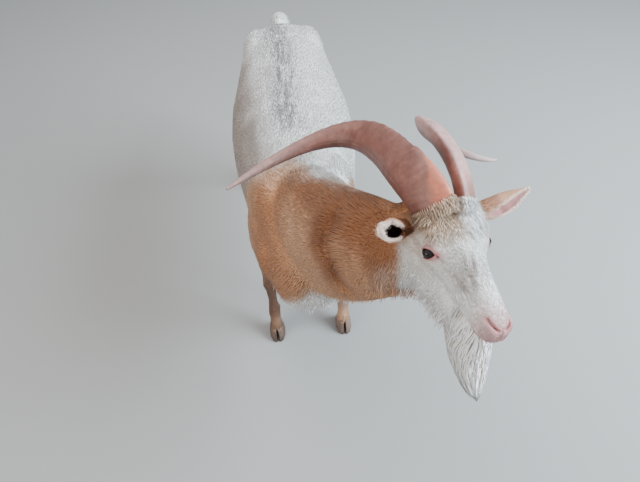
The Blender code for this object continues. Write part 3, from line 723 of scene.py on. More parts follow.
def unwrap(points, labels):
    # each member is unrolled round its own length into its own rectangle
    goat, head = points - goatShift, toHead(points)
    x, y, z = goat.T
    atlas = np.zeros((len(points), 2))

    def wrap(number, aside, ahead, along, low, high, left, bottom, wide, tall):
        angle = np.arctan2(aside, ahead) / (2 * math.pi) + 0.5
        place = np.clip((along - low) / (high - low), 0.0, 1.0)
        spots = np.stack([left + wide * angle, bottom + tall * place], axis=1)
        atlas[labels == number] = spots[labels == number]

    along = neckAlong(goat)
    across = unit(np.cross(neckEnd - neckStart, [0, 0, 1.0]))
    wrap(0, head[:, 0], head[:, 2] + 0.01, -head[:, 1], -0.06, 0.29, 0.51, 0.26, 0.48, 0.35)
    wrap(1, (goat - neckStart) @ across, z - 0.6 - 0.185 * along, along, -0.4, 1.3, 0.51, 0.01, 0.48, 0.23)
    wrap(2, x, z - 0.58, y, -0.26, 0.73, 0.01, 0.01, 0.48, 0.48)
    wrap(3, x, z - 0.69, y, 0.64, 0.82, 0.01, 0.51, 0.15, 0.12)
    for number, name in enumerate(fleshNames[4:]):
        middle = 0.11 if name.endswith("left") else -0.11
        centre = -0.02 if name.startswith("fore") else 0.6
        row, column = divmod(number, 4)
        low, high = ((0.25, 0.78), (0.0, 0.36))[row]
        left, bottom = 0.01 + 0.245 * column, 0.64 + 0.18 * row
        wrap(number + 4, x - middle, y - centre, z, low, high, left, bottom, 0.23, 0.17)
    return atlas


# locks of hair, as closed meshes

lockShape = {
    "corners": ((-1.0, 0.35), (0.0, -0.75), (1.0, 0.35)),  # of a lock's section, across and up
    "steps": (0.0, 0.42, 1.0),  # where along a short lock its root, belly and tip are
}


def lockPieces(paths, sideways, widths, colours, places, profile=(0.0, 1.0), flatness=0.3, shade=(0.82, 1.06)):
    # paths: lock, point, xyz. The last point is the tip, and the others carry a ring of three where the profile isn't 0
    count, total = paths.shape[:2]
    pointed = profile[0] == 0  # a spindle, with a point at its root too
    first = 1 if pointed else 0
    rings = total - 1 - first
    size = first + 3 * rings + 1
    tangents = unit(np.gradient(paths, axis=1))
    sideways = offAxis(sideways[:, None, :], tangents)
    upward = np.cross(tangents, sideways)
    reach = widths[:, None] * np.asarray(profile)[None, first : first + rings] * 0.5
    inner = slice(first, first + rings)
    points = np.empty((count, size, 3))
    for corner, (across, rise) in enumerate(lockShape["corners"]):
        offset = sideways[:, inner] * (across * reach)[..., None]
        offset = offset + upward[:, inner] * (rise * flatness * 2 * reach)[..., None]
        points[:, first + corner : first + 3 * rings : 3] = paths[:, inner] + offset
    points[:, -1] = paths[:, -1]
    if pointed:
        points[:, 0] = paths[:, 0]
        faces = [(0, 1 + (corner + 1) % 3, 1 + corner) for corner in range(3)]
    else:
        faces = [(0, 2, 1)]
    for ring in range(rings - 1):
        for corner in range(3):
            a, b = first + 3 * ring + corner, first + 3 * ring + (corner + 1) % 3
            faces += [(a, b, b + 3), (a, b + 3, a + 3)]
    last = first + 3 * rings - 3
    faces += [(last + corner, last + (corner + 1) % 3, size - 1) for corner in range(3)]
    triangles = (np.arange(count)[:, None, None] * size + np.array(faces)[None]).reshape(-1, 3)
    steps = np.linspace(0.0, 1.0, total)
    along = np.concatenate([steps[:first], np.repeat(steps[inner], 3), [1.0]])
    # painted shade: each lock darker at its root, where the coat shades itself, and lighter towards its tip
    painted = colours[:, None, :] * (shade[0] + (shade[1] - shade[0]) * along)[None, :, None]
    spots = np.zeros((size, 2))
    spots[:, 1] = along - 0.5
    spots[first:-1, 0] = np.tile([-0.5, 0.0, 0.5], rings) * np.repeat(np.linspace(1.0, 0.5, rings), 3)
    spots[first:-1, 1] = spots[first:-1, 1] * 0.8 + np.tile([0.0, 0.12, 0.0], rings)
    atlas = places[:, None, :] + 0.003 * spots[None]
    return points.reshape(-1, 3), triangles, painted.reshape(-1, 3), atlas.reshape(-1, 2)


def coatObject(name, locks, replaced=()):
    points, triangles, colours, atlas = locks
    obj = triangleObject(name, points, triangles)
    setColours(obj, "coatColour", colours)
    layer = obj.data.uv_layers.new(name="OFBake")
    layer.data.foreach_set("uv", atlas[triangles.ravel()].astype(np.float32).ravel())
    print("coat piece", name, len(triangles), "triangles")
    finished(obj, hair, replaced)


def areasOf(points, triangles):
    corners = points[triangles]
    return 0.5 * np.linalg.norm(np.cross(corners[:, 1] - corners[:, 0], corners[:, 2] - corners[:, 0]), axis=1)


def scattered(triangles, wanted, rng):
    # random places on the triangles: what reads values there, and the nearest corners
    numbers = np.floor(wanted + rng.random(len(wanted))).astype(int)
    chosen = np.repeat(np.arange(len(wanted)), numbers)
    first, second = rng.random(len(chosen)), rng.random(len(chosen))
    over = first + second > 1
    first[over], second[over] = 1 - first[over], 1 - second[over]
    corners, shares = triangles[chosen], np.stack([1 - first - second, first, second], axis=1)

    def at(values):
        return np.sum(values[corners] * (shares if values.ndim == 1 else shares[..., None]), axis=1)

    return at, corners[np.arange(len(corners)), np.argmax(shares, axis=1)]


def laidOut(root, ways, reach, normal, rise):
    # the points of each lock, out along its ways and up from the skin
    return root[:, None] + ways * reach[..., None] + normal[:, None] * rise[..., None]


class Coat:
    # the skin's values at each point, and places picked on it
    def __init__(self, skin, labels):
        self.points, self.normals, self.triangles = pointsOf(skin), normalsOf(skin), trianglesOf(skin)
        self.flow, self.length, self.width, self.lift, self.density = hairLie(self.points, self.normals, labels)
        self.atlas = unwrap(self.points, labels)
        self.areas = areasOf(self.points, self.triangles)

    def pick(self, weights, seed):
        # the weights are locks per square metre
        rng = np.random.default_rng(seed)
        wanted = self.areas * weights[self.triangles].mean(axis=1) * thin
        at, corners = scattered(self.triangles, wanted, rng)
        return at, self.atlas[corners], rng


coatLook = {
    "spread": 0.085,  # sideways scatter, as a share of the length
    "wave": 0.022,
    "colourSpread": 0.055,
    "sunk": 0.0008,
}


def shortLocks(mask, seed):
    at, places, rng = coat.pick(coat.density * mask, seed)
    root, normal, flow = at(coat.points), unit(at(coat.normals)), unit(at(coat.flow))
    count = len(root)
    length = at(coat.length) * rng.uniform(0.7, 1.25, count)
    width = at(coat.width) * rng.uniform(0.7, 1.3, count)
    lift = at(coat.lift) * rng.uniform(0.5, 1.5, count)
    sideways = np.cross(normal, flow)
    # neighbouring locks lean the same way, so they read as waves
    wave = softNoise(root, coatLook["wave"], 21) - 0.5 + rng.normal(0, 0.24, count)
    aside = sideways * (wave * coatLook["spread"])[:, None]
    steps = np.array(lockShape["steps"])
    rise = (lift * length)[:, None] * (steps * (1.5 - 0.8 * steps)) - coatLook["sunk"] * (steps == 0)
    ways = flow[:, None] + aside[:, None] * steps[:, None]
    path = laidOut(root, ways, length[:, None] * steps, normal, rise)
    colours = markingsAndShade(root) * (1 + rng.normal(0, coatLook["colourSpread"], count))[:, None].clip(0.7, 1.3)
    return lockPieces(path, sideways, width, colours, places)


def longLocks(mask, look, seed):
    # longer hair: each lock follows its way, falls, and is kept clear of the skin
    at, places, rng = coat.pick(mask * look["density"], seed)
    root, normal = at(coat.points), unit(at(coat.normals))
    count, rings = len(root), 4
    way = look["along"] * unit(at(coat.flow)) + look["out"] * normal + np.array(look["way"])
    tangle = np.stack([softNoise(root, look["clump"], seed + k) - 0.5 for k in range(3)], axis=1)
    way = unit(way + 1.6 * look["spread"] * tangle + 0.5 * look["spread"] * rng.normal(0, 1, (count, 3)))
    length = rng.uniform(*look["length"], count) * at(np.sqrt(mask))
    width = rng.uniform(*look["width"], count)
    path = np.empty((count, rings + 1, 3))
    here = root - normal * 0.0015
    for ring in range(rings + 1):
        path[:, ring] = here
        here = here + way * (length / rings)[:, None]
        way = unit(way + np.array([0, 0, -look["fall"] / rings]))
        clear = look["clear"] * (ring + 1) / rings
        for index in range(count):
            place, facing, _, _ = skinTree.find_nearest(Vector(here[index]))
            gap = (Vector(here[index]) - place).dot(facing)
            if gap < clear:
                here[index] += np.array(facing) * (clear - gap)
    tone = np.array(shades[look["shade"]]) if look["shade"] else markingsAndShade(root)
    colours = tone * (1 + rng.normal(0, look["tones"], count))[:, None].clip(0.6, 1.4)
    return lockPieces(path, np.cross(normal, way), width, colours, places, (0.6, 1.0, 0.9, 0.6), 0.22, (0.9, 1.04))


# the horns

hornCurves = {
    "left": [
        (0.029, -0.06, 0.056), (0.051, 0.01, 0.132), (-0.011, 0.174, 0.183),
        (-0.054, 0.13, 0.065), (0.283, 0.228, -0.119), (0.346, 0.252, -0.144),
    ],
    "right": [
        (-0.029, -0.06, 0.056), (-0.046, 0.02, 0.119), (-0.122, 0.029, 0.061),
        (0.127, 0.448, 0.023), (-0.299, 0.231, -0.034), (-0.368, 0.194, -0.042),
    ],
}
hornSize = {
    "rings": 230,
    "around": 56,
    "keelStart": (-0.5, -0.5, 0.7),
    "keel": 0.35,  # how much thinner the horn is on the keel side
    "twists": {"left": -20.0, "right": 10.0},
    "along": (0.0, 0.12, 0.3, 0.45, 0.6, 0.75, 0.9, 1.0),  # where the depths and widths are given
    "depths": {
        "left": (0.038, 0.039, 0.0385, 0.033, 0.025, 0.0155, 0.0085, 0.0025),
        "right": (0.044, 0.045, 0.045, 0.039, 0.028, 0.0165, 0.0085, 0.0025),
    },
    "widths": {
        "left": (0.0175, 0.018, 0.017, 0.0152, 0.0128, 0.0098, 0.0065, 0.0022),
        "right": (0.0245, 0.024, 0.0205, 0.018, 0.0145, 0.0105, 0.0065, 0.0022),
    },
    "cuffRings": 9,
    "cuffLocks": 1900,
}
hornShades = {
    "broad": (0.165, 0.064, 0.047),
    # painted light on the faces turned toward the light
    "light": (0.41, 0.118, 0.066),
    "dark": (0.055, 0.02, 0.017),
    "tip": (0.46, 0.34, 0.31),
    "pale": (0.27, 0.125, 0.098),
    "rose": (0.37, 0.225, 0.205),
}


def gridFaces(rows, columns, size):
    # faces over rows of points, size points in a row
    corners = [(row * size + a, row * size + (a + 1) % size) for row in range(rows) for a in range(columns)]
    return [(a, b, b + size, a + size) for a, b in corners]


def makeHorn(name, side):
    right, around = name == "right", hornSize["around"]
    t = np.linspace(0, 1, hornSize["rings"] + 1)
    weights = np.stack([math.comb(5, k) * t**k * (1 - t) ** (5 - k) for k in range(6)], axis=1)
    centres = weights @ np.array(hornCurves[name])
    tangents = unit(np.gradient(centres, axis=0))
    padded = np.concatenate([np.zeros(7), t, np.ones(7)])
    tables = [np.interp(padded, hornSize["along"], hornSize[key][name]) for key in ("depths", "widths")]
    depths, widths = (np.convolve(table, np.ones(15) / 15, "valid") for table in tables)
    lengths = np.concatenate([[0], np.cumsum(np.linalg.norm(np.diff(centres, axis=0), axis=1))])
    keel = np.array(hornSize["keelStart"]) * [side, 1, 1]
    angle = 2 * math.pi * np.arange(around) / around
    c, s = np.cos(angle), np.sin(angle)
    narrow = 1 - hornSize["keel"] * np.maximum(c, 0) ** 2
    front = np.angle(np.exp(1j * angle))  # 0 along the keel
    back = np.abs(np.angle(np.exp(1j * (angle - math.pi))))  # 0 at the inner edge of the bend
    groove = near(back, 0.06, 1.16) + near(back, 0.07, 0.86)
    lightWay = unit(np.array([-side * 0.55, -0.7, 0.35]))  # faces the same way as the flat front, toward the light
    points, tones = [], []

    def grain(stretch, along, seed):
        return softNoise(np.stack([c * stretch, s * stretch, along], axis=1), 1.0, seed) - 0.5

    for centre, tangent, depth, width, place, share in zip(centres, tangents, depths, widths, lengths, t):
        keel = offAxis(keel, tangent)
        turn = math.radians(side * hornSize["twists"][name] * share)
        twisted = keel * math.cos(turn) + np.cross(tangent, keel) * math.sin(turn)
        flat = np.cross(tangent, twisted)
        ring = centre + np.outer(depth * c, twisted) + np.outer(width * narrow * s, flat)
        outward = unit(np.outer(width * c, twisted) + np.outer(depth * s, flat))
        skew = place + 0.016 * c * min(1.0, place / 0.05)  # rings sweep forward on the keel
        wave, fine = grain(1.2, skew * 90, 31), grain(2.4, skew * 380, 33)
        mottle = grain(1.6, np.full(around, place * 45 + 7 * side), 35)
        swell = 0.5 + 0.5 * np.sin(2 * math.pi * skew / 0.034 + 1.4 * np.sin(skew * 60 + 2 * side))
        size = depth / 0.045
        height = (0.0005 * wave + 0.0004 * fine + 0.0002 * swell) * size
        if right:  # the front face swells below its notch
            height += 0.0042 * near(front, 0.75) * ramp(0.0, 0.025, place) * ramp(0.118, 0.104, place)
        knobs = (0.5 + 0.5 * np.sin(2 * math.pi * place / 0.027 + 1.1 * math.sin(place * 41))) ** 2
        height += 0.0012 * (np.maximum(c, 0) ** 14 * knobs) * size * ramp(0.03, 0.12, place)
        height -= 0.0011 * groove * size * ramp(0.02, 0.1, place)
        points.append(fromHead(ring + outward * height[:, None]))

        paint = Paint(hornShades, "broad" if right else "rose", around)
        lay, towardLight = paint.lay, outward @ lightWay
        narrowing = -0.1 + 4.6 * place + 5.0 * max(place - 0.07, 0) + 0.3 * mottle
        paintedLight = (0.9 if right else 0.35) * (1 + 0.5 * np.minimum(mottle, 0))
        lay("pale", ramp(0.0, 0.3, wave) * 0.14)
        lay("pale", ramp(0.02, 0.3, mottle + 0.3 * fine) * 0.35)
        lay("dark", ramp(0.08, 0.34, -mottle - 0.5 * fine) * 0.22)
        # painted light: the faces turned toward the light are laid lighter, most on the right horn
        lay("light", ramp(narrowing, narrowing + 0.2, towardLight) * paintedLight)
        # painted shade: along the inner edge of the bend (partly the horn's own darker tone), in the grooves, and at
        # the foot on the faces turned from the light
        lay("dark", ramp(1.1, 0.45, back) * 0.75 * ramp(0.02, 0.14, place))
        lay("dark", np.clip(groove, 0, 1) * 0.75 * ramp(0.03, 0.1, place))
        lay("dark", ramp(0.04, 0.0, place) * ramp(0.5, 0.1, towardLight) * 0.3)
        if not right:
            lay("dark", near(place, 0.035, 0.1) * ramp(-0.1, 0.6, outward @ np.array([-0.6, -0.8, 0.0])) * 0.75)
            lay("broad", ramp(0.07, 0.02, place) * 0.8)
        lay("tip", ramp(0.68, 1.0, share) * (0.3 if right else 0.9))
        tones.append(paint.colour * (1 + 0.12 * fine + 0.04 * wave + 0.1 * mottle)[:, None])
    faces = gridFaces(len(t) - 1, around, around)
    faces += [tuple(range(around - 1, -1, -1)), tuple(range((len(t) - 1) * around, len(t) * around))]
    obj = meshObject("horn_sheath_" + name, np.concatenate(points), faces)
    setColours(obj, "hornTone", np.concatenate(tones))
    return faceOut(obj)


def hornCuff(sheath, seed):
    # the hair that starts on the foot of the horn and lies out over the skull
    rng = np.random.default_rng(seed)
    points, normals = pointsOf(sheath), normalsOf(sheath)
    around, rings = hornSize["around"], hornSize["cuffRings"]
    count = int(hornSize["cuffLocks"] * thin)
    ring, column = rng.uniform(0, rings, count), rng.integers(0, around, count)
    low = ring.astype(int)
    share = ring - low
    root = blend(points[low * around + column], points[(low + 1) * around + column], share)
    normal = normals[low * around + column]
    climb = unit(points[rings * around + column] - points[column])
    forward = headTurn @ np.array([0, -1.0, -0.2])
    flow = unit(-climb + 0.18 * rng.normal(0, 1, (count, 3)) + 0.35 * forward)
    reach = rng.uniform(0.008, 0.016, count)[:, None] * np.array([0.0, 0.45, 1.0])
    rise = np.array([-0.0012, 0.0016, 0.0022]) * rng.uniform(0.6, 1.3, count)[:, None]
    path = laidOut(root, flow[:, None], reach, normal, rise)
    colours = markingsAndShade(root - climb * 0.014) * (1 + rng.normal(0, 0.07, count))[:, None]
    places = np.stack([0.8 + 0.05 * np.cos(column / around * 2 * math.pi), 0.45 + 0.02 * share], axis=1)
    return lockPieces(path, np.cross(normal, flow), rng.uniform(0.0009, 0.0018, count), colours, places)


# the ears

ears = {
    "left": {
        "base": (0.062, -0.036, 0.004),
        "rootWay": (0.9, -0.17, 0.4),
        "tipWay": (0.9, -0.19, 0.36),
        "opening": (-0.4, -0.94, -0.12),
        "spans": (345, 325, 295, 255, 205, 160, 110),  # degrees round the ear, from root to tip
    },
    "right": {
        "base": (-0.06, -0.036, 0.004),
        "rootWay": (-0.9, -0.28, 0.3),
        "tipWay": (-0.28, -0.62, 0.74),
        "opening": (0.6, -0.6, 0.25),
        "spans": (356, 356, 350, 300, 225, 165, 110),
    },
}
earSize = {
    "length": 0.132,
    "root": 0.012,
    "rows": 48,
    "columns": 36,
    "thickness": 0.003,
    "along": (0.0, 0.18, 0.38, 0.58, 0.78, 0.92, 1.0),
    "radii": (0.014, 0.015, 0.019, 0.0215, 0.018, 0.0115, 0.0055),
}
earShades = {
    "inner": (0.66, 0.36, 0.33),
    # deep is painted shade inside the ear
    "deep": (0.045, 0.02, 0.022),
    "fur": (0.46, 0.245, 0.15),
    "pale": (0.76, 0.6, 0.5),
    "root": (0.2, 0.078, 0.034),
}


def makeEar(name):
    right, rows, columns, length = name == "right", earSize["rows"], earSize["columns"], earSize["length"]
    base, rootWay, tipWay, opening, spans = (np.array(value, float) for value in ears[name].values())
    most = max(earSize["radii"])
    widest = earSize["along"][earSize["radii"].index(most)]
    middle = base - unit(rootWay) * earSize["root"]
    grid, radial, ways, places = [], [], [], []
    for row in range(rows + 1):
        along = row / rows
        way = unit(rootWay + (tipWay - rootWay) * along)
        slit = offAxis(opening, way)
        radius = np.interp(along, earSize["along"], earSize["radii"])
        half = math.radians(np.interp(along, earSize["along"], spans)) / 2
        axis = middle - slit * (most - radius) * ramp(widest - 0.04, widest + 0.1, along)
        angles = np.linspace(-half, half, columns + 1)
        spokes = -(np.outer(np.cos(angles), slit) + np.outer(np.sin(angles), np.cross(way, slit)))
        wavy = 1 + 0.05 * np.sin(3 * angles + 9 * along) * ramp(0.3, 0.7, along)
        grid.append(axis + spokes * ((radius - 0.0012) * wavy)[:, None])
        radial.append(spokes)
        ways.append(np.tile(way, (columns + 1, 1)))
        gap = np.minimum((half - np.abs(angles)) * radius, (1 - along) * length)
        rim = ramp(0.01 if right else 0.0065, 0.0005, gap)
        places.append(np.stack([rim, np.full(columns + 1, along), np.zeros(columns + 1)], axis=1))
        middle = middle + unit(rootWay + (tipWay - rootWay) * (row + 0.5) / rows) * length / rows
    obj = meshObject("ear_leaf_" + name, fromHead(np.concatenate(grid)), gridFaces(rows, columns, columns + 1))
    radial = np.concatenate(radial) @ headTurn.T
    setVectors(obj, "spoke", radial)
    setVectors(obj, "way", np.concatenate(ways) @ headTurn.T)
    setVectors(obj, "place", np.concatenate(places))
    if np.sum(normalsOf(obj) * radial) < 0:
        obj.data.flip_normals()
    modified(obj, "SOLIDIFY", thickness=earSize["thickness"], offset=0.0)
    modified(obj, "SMOOTH", factor=0.5, iterations=2)
    obj.data.shade_smooth()
    points, normals = pointsOf(obj), normalsOf(obj)
    spoke, way, place = (vectorsOf(obj, key) for key in ("spoke", "way", "place"))
    rim, reach = place[:, 0], place[:, 1]
    outside = ramp(-0.1, 0.4, np.sum(spoke * normals, axis=1))
    turn = np.arctan2(spoke[:, 0], spoke[:, 2])
    lobes = 0.07 * np.cos(4 * turn + 0.6)
    paint = Paint(earShades, "inner", len(points))
    # painted shade inside the ear: the furled right ear dark deep in its tube, the left ear dark towards its root
    paint.lay("deep", ramp(0.64, 0.5, reach + lobes) if right else ramp(0.34, 0.1, reach))
    veins = softNoise(np.stack([reach * 30, turn * 6, np.zeros(len(reach))], axis=1), 1.0, 43)
    paint.colour *= (0.86 + 0.24 * veins)[:, None]
    paint.lay("fur", outside)
    paint.lay("pale", rim * (ramp(0.44, 0.58, reach) if right else 0.7))
    paint.lay("root", np.maximum(outside, rim) * ramp(0.6, 0.44, reach) * (1.0 if right else 0.55))
    paint.colour *= (1 + 0.16 * (softNoise(points, 0.006, 41) - 0.5))[:, None]
    setColours(obj, "earTone", paint.colour)
    values = {"points": points, "normals": normals, "way": way}
    values |= {"outside": outside, "rim": rim, "reach": reach, "colour": paint.colour}
    if right:
        values["heart"] = points[(rim > 0.6) & (reach > 0.45)].mean(axis=0)
    return obj, values


def earCoat(ear, values, seed):
    # short fur on the back of the ear and finer hair along its rim
    rng = np.random.default_rng(seed)
    triangles = trianglesOf(ear)
    outside, rim, reach = (values[key][triangles].mean(axis=1) for key in ("outside", "rim", "reach"))
    weight = (outside * 260000 + rim * 380000 + 12000) * ramp(0.02, 0.1, reach)
    wanted = areasOf(values["points"], triangles) * weight * 1.0
    at, _ = scattered(triangles, wanted, rng)
    root, normal, rim, reach = at(values["points"]), unit(at(values["normals"])), at(values["rim"]), at(values["reach"])
    count = len(root)
    flow = at(values["way"]) + 0.22 * rng.normal(0, 1, (count, 3))
    if "heart" in values:  # the rim's fur leans in over the opening
        flow += 2.4 * (rim * ramp(0.3, 0.6, rim))[:, None] * unit(values["heart"] - root)
    flow = offAxis(flow, normal)
    furry = rim * (1.0 if "heart" in values else 0.35)
    length = (0.0052 + 0.006 * furry + 0.012 * ramp(0.55, 0.2, reach)) * rng.uniform(0.6, 1.3, count)
    lift = 0.07 + 0.4 * furry * rng.uniform(0.3, 1.2, count)
    steps = np.array(lockShape["steps"])
    rise = (lift * length)[:, None] * steps * (1.3 - 0.6 * steps)
    path = laidOut(root, flow[:, None], length[:, None] * steps, normal, rise)
    colours = at(values["colour"]) * (1.1 + rng.normal(0, 0.1, count))[:, None]
    places = np.stack([0.2 + 0.1 * rng.random(count), 0.55 + 0.05 * reach], axis=1)
    widths = rng.uniform(0.0006, 0.0011, count)
    return lockPieces(path, np.cross(normal, flow), widths, colours, places, shade=(0.9, 1.05))


# the eyes


def makeEye(name, side):
    outward, forward, rise, middle = eyeFrame(side)
    deselectAll()
    bpy.ops.mesh.primitive_uv_sphere_add(segments=64, ring_count=40, radius=eyeSize["ball"], location=(0, 0, 0))
    obj = bpy.context.active_object
    obj.name = "eyeball_" + name
    local = pointsOf(obj)  # x along the slit, y up, z out through the pupil
    bulge = eyeSize["bulge"] * ramp(0.0085, 0.0, np.hypot(local[:, 0], local[:, 1])) * (local[:, 2] > 0)
    setVectors(obj, "gaze", local)
    local = local + unit(local) * bulge[:, None]
    setPoints(obj, fromHead(middle + local @ np.stack([forward, rise, outward], axis=0)))
    return faceOut(obj)


def eyeMaterial():
    material, tree, shader = newMaterial("wetEye", Roughness=0.05, Specular_IOR_Level=0.35)
    gaze = addNode(tree, "ShaderNodeAttribute", attribute_name="gaze").outputs["Vector"]
    split = addNode(tree, "ShaderNodeSeparateXYZ")
    tree.links.new(gaze, split.inputs[0])
    x, y = split.outputs["X"], split.outputs["Y"]

    def computed(operation, *values):
        node = addNode(tree, "ShaderNodeMath", operation=operation)
        for socket, value in zip(node.inputs, values):
            if isinstance(value, float):
                socket.default_value = value
            else:
                tree.links.new(value, socket)
        return node.outputs[0]

    def reached(axis, half):
        return computed("POWER", computed("ABSOLUTE", computed("DIVIDE", axis, half)), 2.6)

    # a wide low pupil in a round iris
    pupil = computed("ADD", reached(x, 0.0058), reached(y, 0.0021))
    radius = computed("SQRT", computed("ADD", computed("MULTIPLY", x, x), computed("MULTIPLY", y, y)))
    iris = addNode(tree, "ShaderNodeValToRGB")
    elements = iris.color_ramp.elements
    elements[0].position, elements[0].color = 0.0, (0.02, 0.012, 0.012, 1)
    elements[1].position, elements[1].color = 1.0, (0.006, 0.005, 0.007, 1)
    elements.new(0.62).color = (0.016, 0.01, 0.011, 1)
    tree.links.new(computed("DIVIDE", radius, 0.01), iris.inputs["Fac"])
    streaks = addNode(tree, "ShaderNodeTexNoise", Scale=900.0, Detail=3.0)
    tree.links.new(gaze, streaks.inputs["Vector"])
    colour = scaledBy(tree, iris.outputs["Color"], computed("ADD", streaks.outputs["Fac"], 0.45))
    mask = addNode(tree, "ShaderNodeMapRange", **{"From Min": 0.85, "From Max": 1.25})
    tree.links.new(pupil, mask.inputs["Value"])
    tree.links.new(scaledBy(tree, colour, mask.outputs["Result"]), shader.inputs["Base Color"])
    return material


# the hooves

hoofSize = {
    "voxel": 0.0021,
    "sole": 0.0016,  # what is lower than this is pressed flat
    "clawTop": 0.058,
    "ring": 0.0052,
    "tones": {"left": (0.15, 0.1, 0.078), "right": (0.09, 0.055, 0.04)},
    "pale": (0.22, 0.145, 0.105),
}


def makeHoof(leg, side):
    names = [f"{kind}_{leg}_{side}_{place}" for kind in ("claw", "dewclaw") for place in ("outer", "inner")]
    hoof = joined(f"hoof_{leg}_{side}", [nodeCopy(name, 0.0001) for name in names])
    remeshed(hoof, hoofSize["voxel"], 3)
    points = pointsOf(hoof)
    points[:, 2] = np.where(points[:, 2] < hoofSize["sole"], 0.0, points[:, 2])
    height = points[:, 2].copy()
    claws = height < hoofSize["clawTop"]
    middle = points[claws, :2].mean(axis=0)
    lean = 0.2 * claws * ramp(0.012, 0.046, height)  # the wall leans in to the coronet
    points[:, :2] -= (points[:, :2] - middle) * lean[:, None]
    rings = np.sin(2 * math.pi * (height + 0.1 * points[:, 1]) / hoofSize["ring"]) * 0.00022
    rings += (softNoise(points * [1, 1, 0.3], 0.0035, 51) - 0.5) * 0.0005
    points += normalsOf(hoof) * [1, 1, 0.2] * (rings * ramp(0.003, 0.008, height))[:, None]
    setPoints(hoof, points)
    light = softNoise(points * [1, 1, 0.22], 0.006, 52)
    tone = np.array(hoofSize["tones"][side]) * (0.75 + 0.5 * light)[:, None]
    tone = tone * (0.72 + 0.28 * ramp(0.0, 0.03, height))[:, None]
    setColours(hoof, "hoofTone", blend(tone, hoofSize["pale"], ramp(0.03, 0.05, height) * 0.5))
    return hoof, names


# the skin and its short coat

thin = 1.0
skin = makeSkin()
labels = nodeLabels(pointsOf(skin))
sinkSkin(skin, labels)
sculptHead(skin)
print("skin", len(skin.data.vertices), "points", len(trianglesOf(skin)), "triangles")
coat = Coat(skin, labels)
setColours(skin, "markingAndShade", markingsAndShade(coat.points))
relative = coat.points - pollPlace
setVectors(skin, "lie", relative - 0.82 * coat.flow * np.sum(relative * coat.flow, axis=1)[:, None])
skin.data.shade_smooth()
furrySkin = surface(
    "furrySkin", "markingAndShade", [(0.0011, 0.86, 1.1)], (0.001, 0.8), "lie",
    Roughness=0.7, Subsurface_Weight=0.05, Subsurface_Scale=0.004, Specular_IOR_Level=0.2,
)
finished(skin, furrySkin, fleshNames)
hair = surface(
    "coatHair", "coatColour", Roughness=0.68, Specular_IOR_Level=0.15, Sheen_Weight=0.06, Sheen_Roughness=0.4
)

goatPoints, headPoints = coat.points - goatShift, toHead(coat.points)
isHead, isNeck, isTrunk, isTail, isLower = (isPart(labels, word) for word in ("head", "neck", "trunk", "tail", "lower"))
regions = {}
for half, here in (("fore", goatPoints[:, 1] < 0.24), ("rear", goatPoints[:, 1] >= 0.24)):
    regions[f"coat_{half}_left"] = isTrunk & here & (goatPoints[:, 0] >= 0)
    regions[f"coat_{half}_right"] = isTrunk & here & (goatPoints[:, 0] < 0)
regions |= {"coat_neck": isNeck, "coat_tail": isTail}
for leg in ("foreleg", "hindleg"):
    regions[f"coat_{leg}s"] = isPart(labels, leg) & ~isLower
regions["coat_lower_legs"] = isLower
regions["coat_head_left"] = isHead & (headPoints[:, 0] >= 0)
regions["coat_head_right"] = isHead & (headPoints[:, 0] < 0)
for number, (name, mask) in enumerate(regions.items()):
    coatObject(name, shortLocks(mask, 100 + number))

# the beard: locks from the jaw that gather to a point, over a dense core

beardSize = {
    "drop": (-0.03, 0.025, 0.07, 0.115, 0.155, 0.19),  # down from the root, where the rest is given
    "ahead": (0.19, 0.205, 0.222, 0.243, 0.268, 0.297),
    "aside": (0.0, 0.0, 0.0, 0.004, 0.009, 0.016),
    "halfWidth": (0.024, 0.035, 0.04, 0.035, 0.023, 0.005),
    "halfLength": (0.054, 0.06, 0.055, 0.043, 0.029, 0.008),
    "root": -0.045,
    "locks": 5600,
    "cream": (0.7, 0.62, 0.52),
    "coreDepth": -0.005,
    "coreVoxel": 0.0025,
}


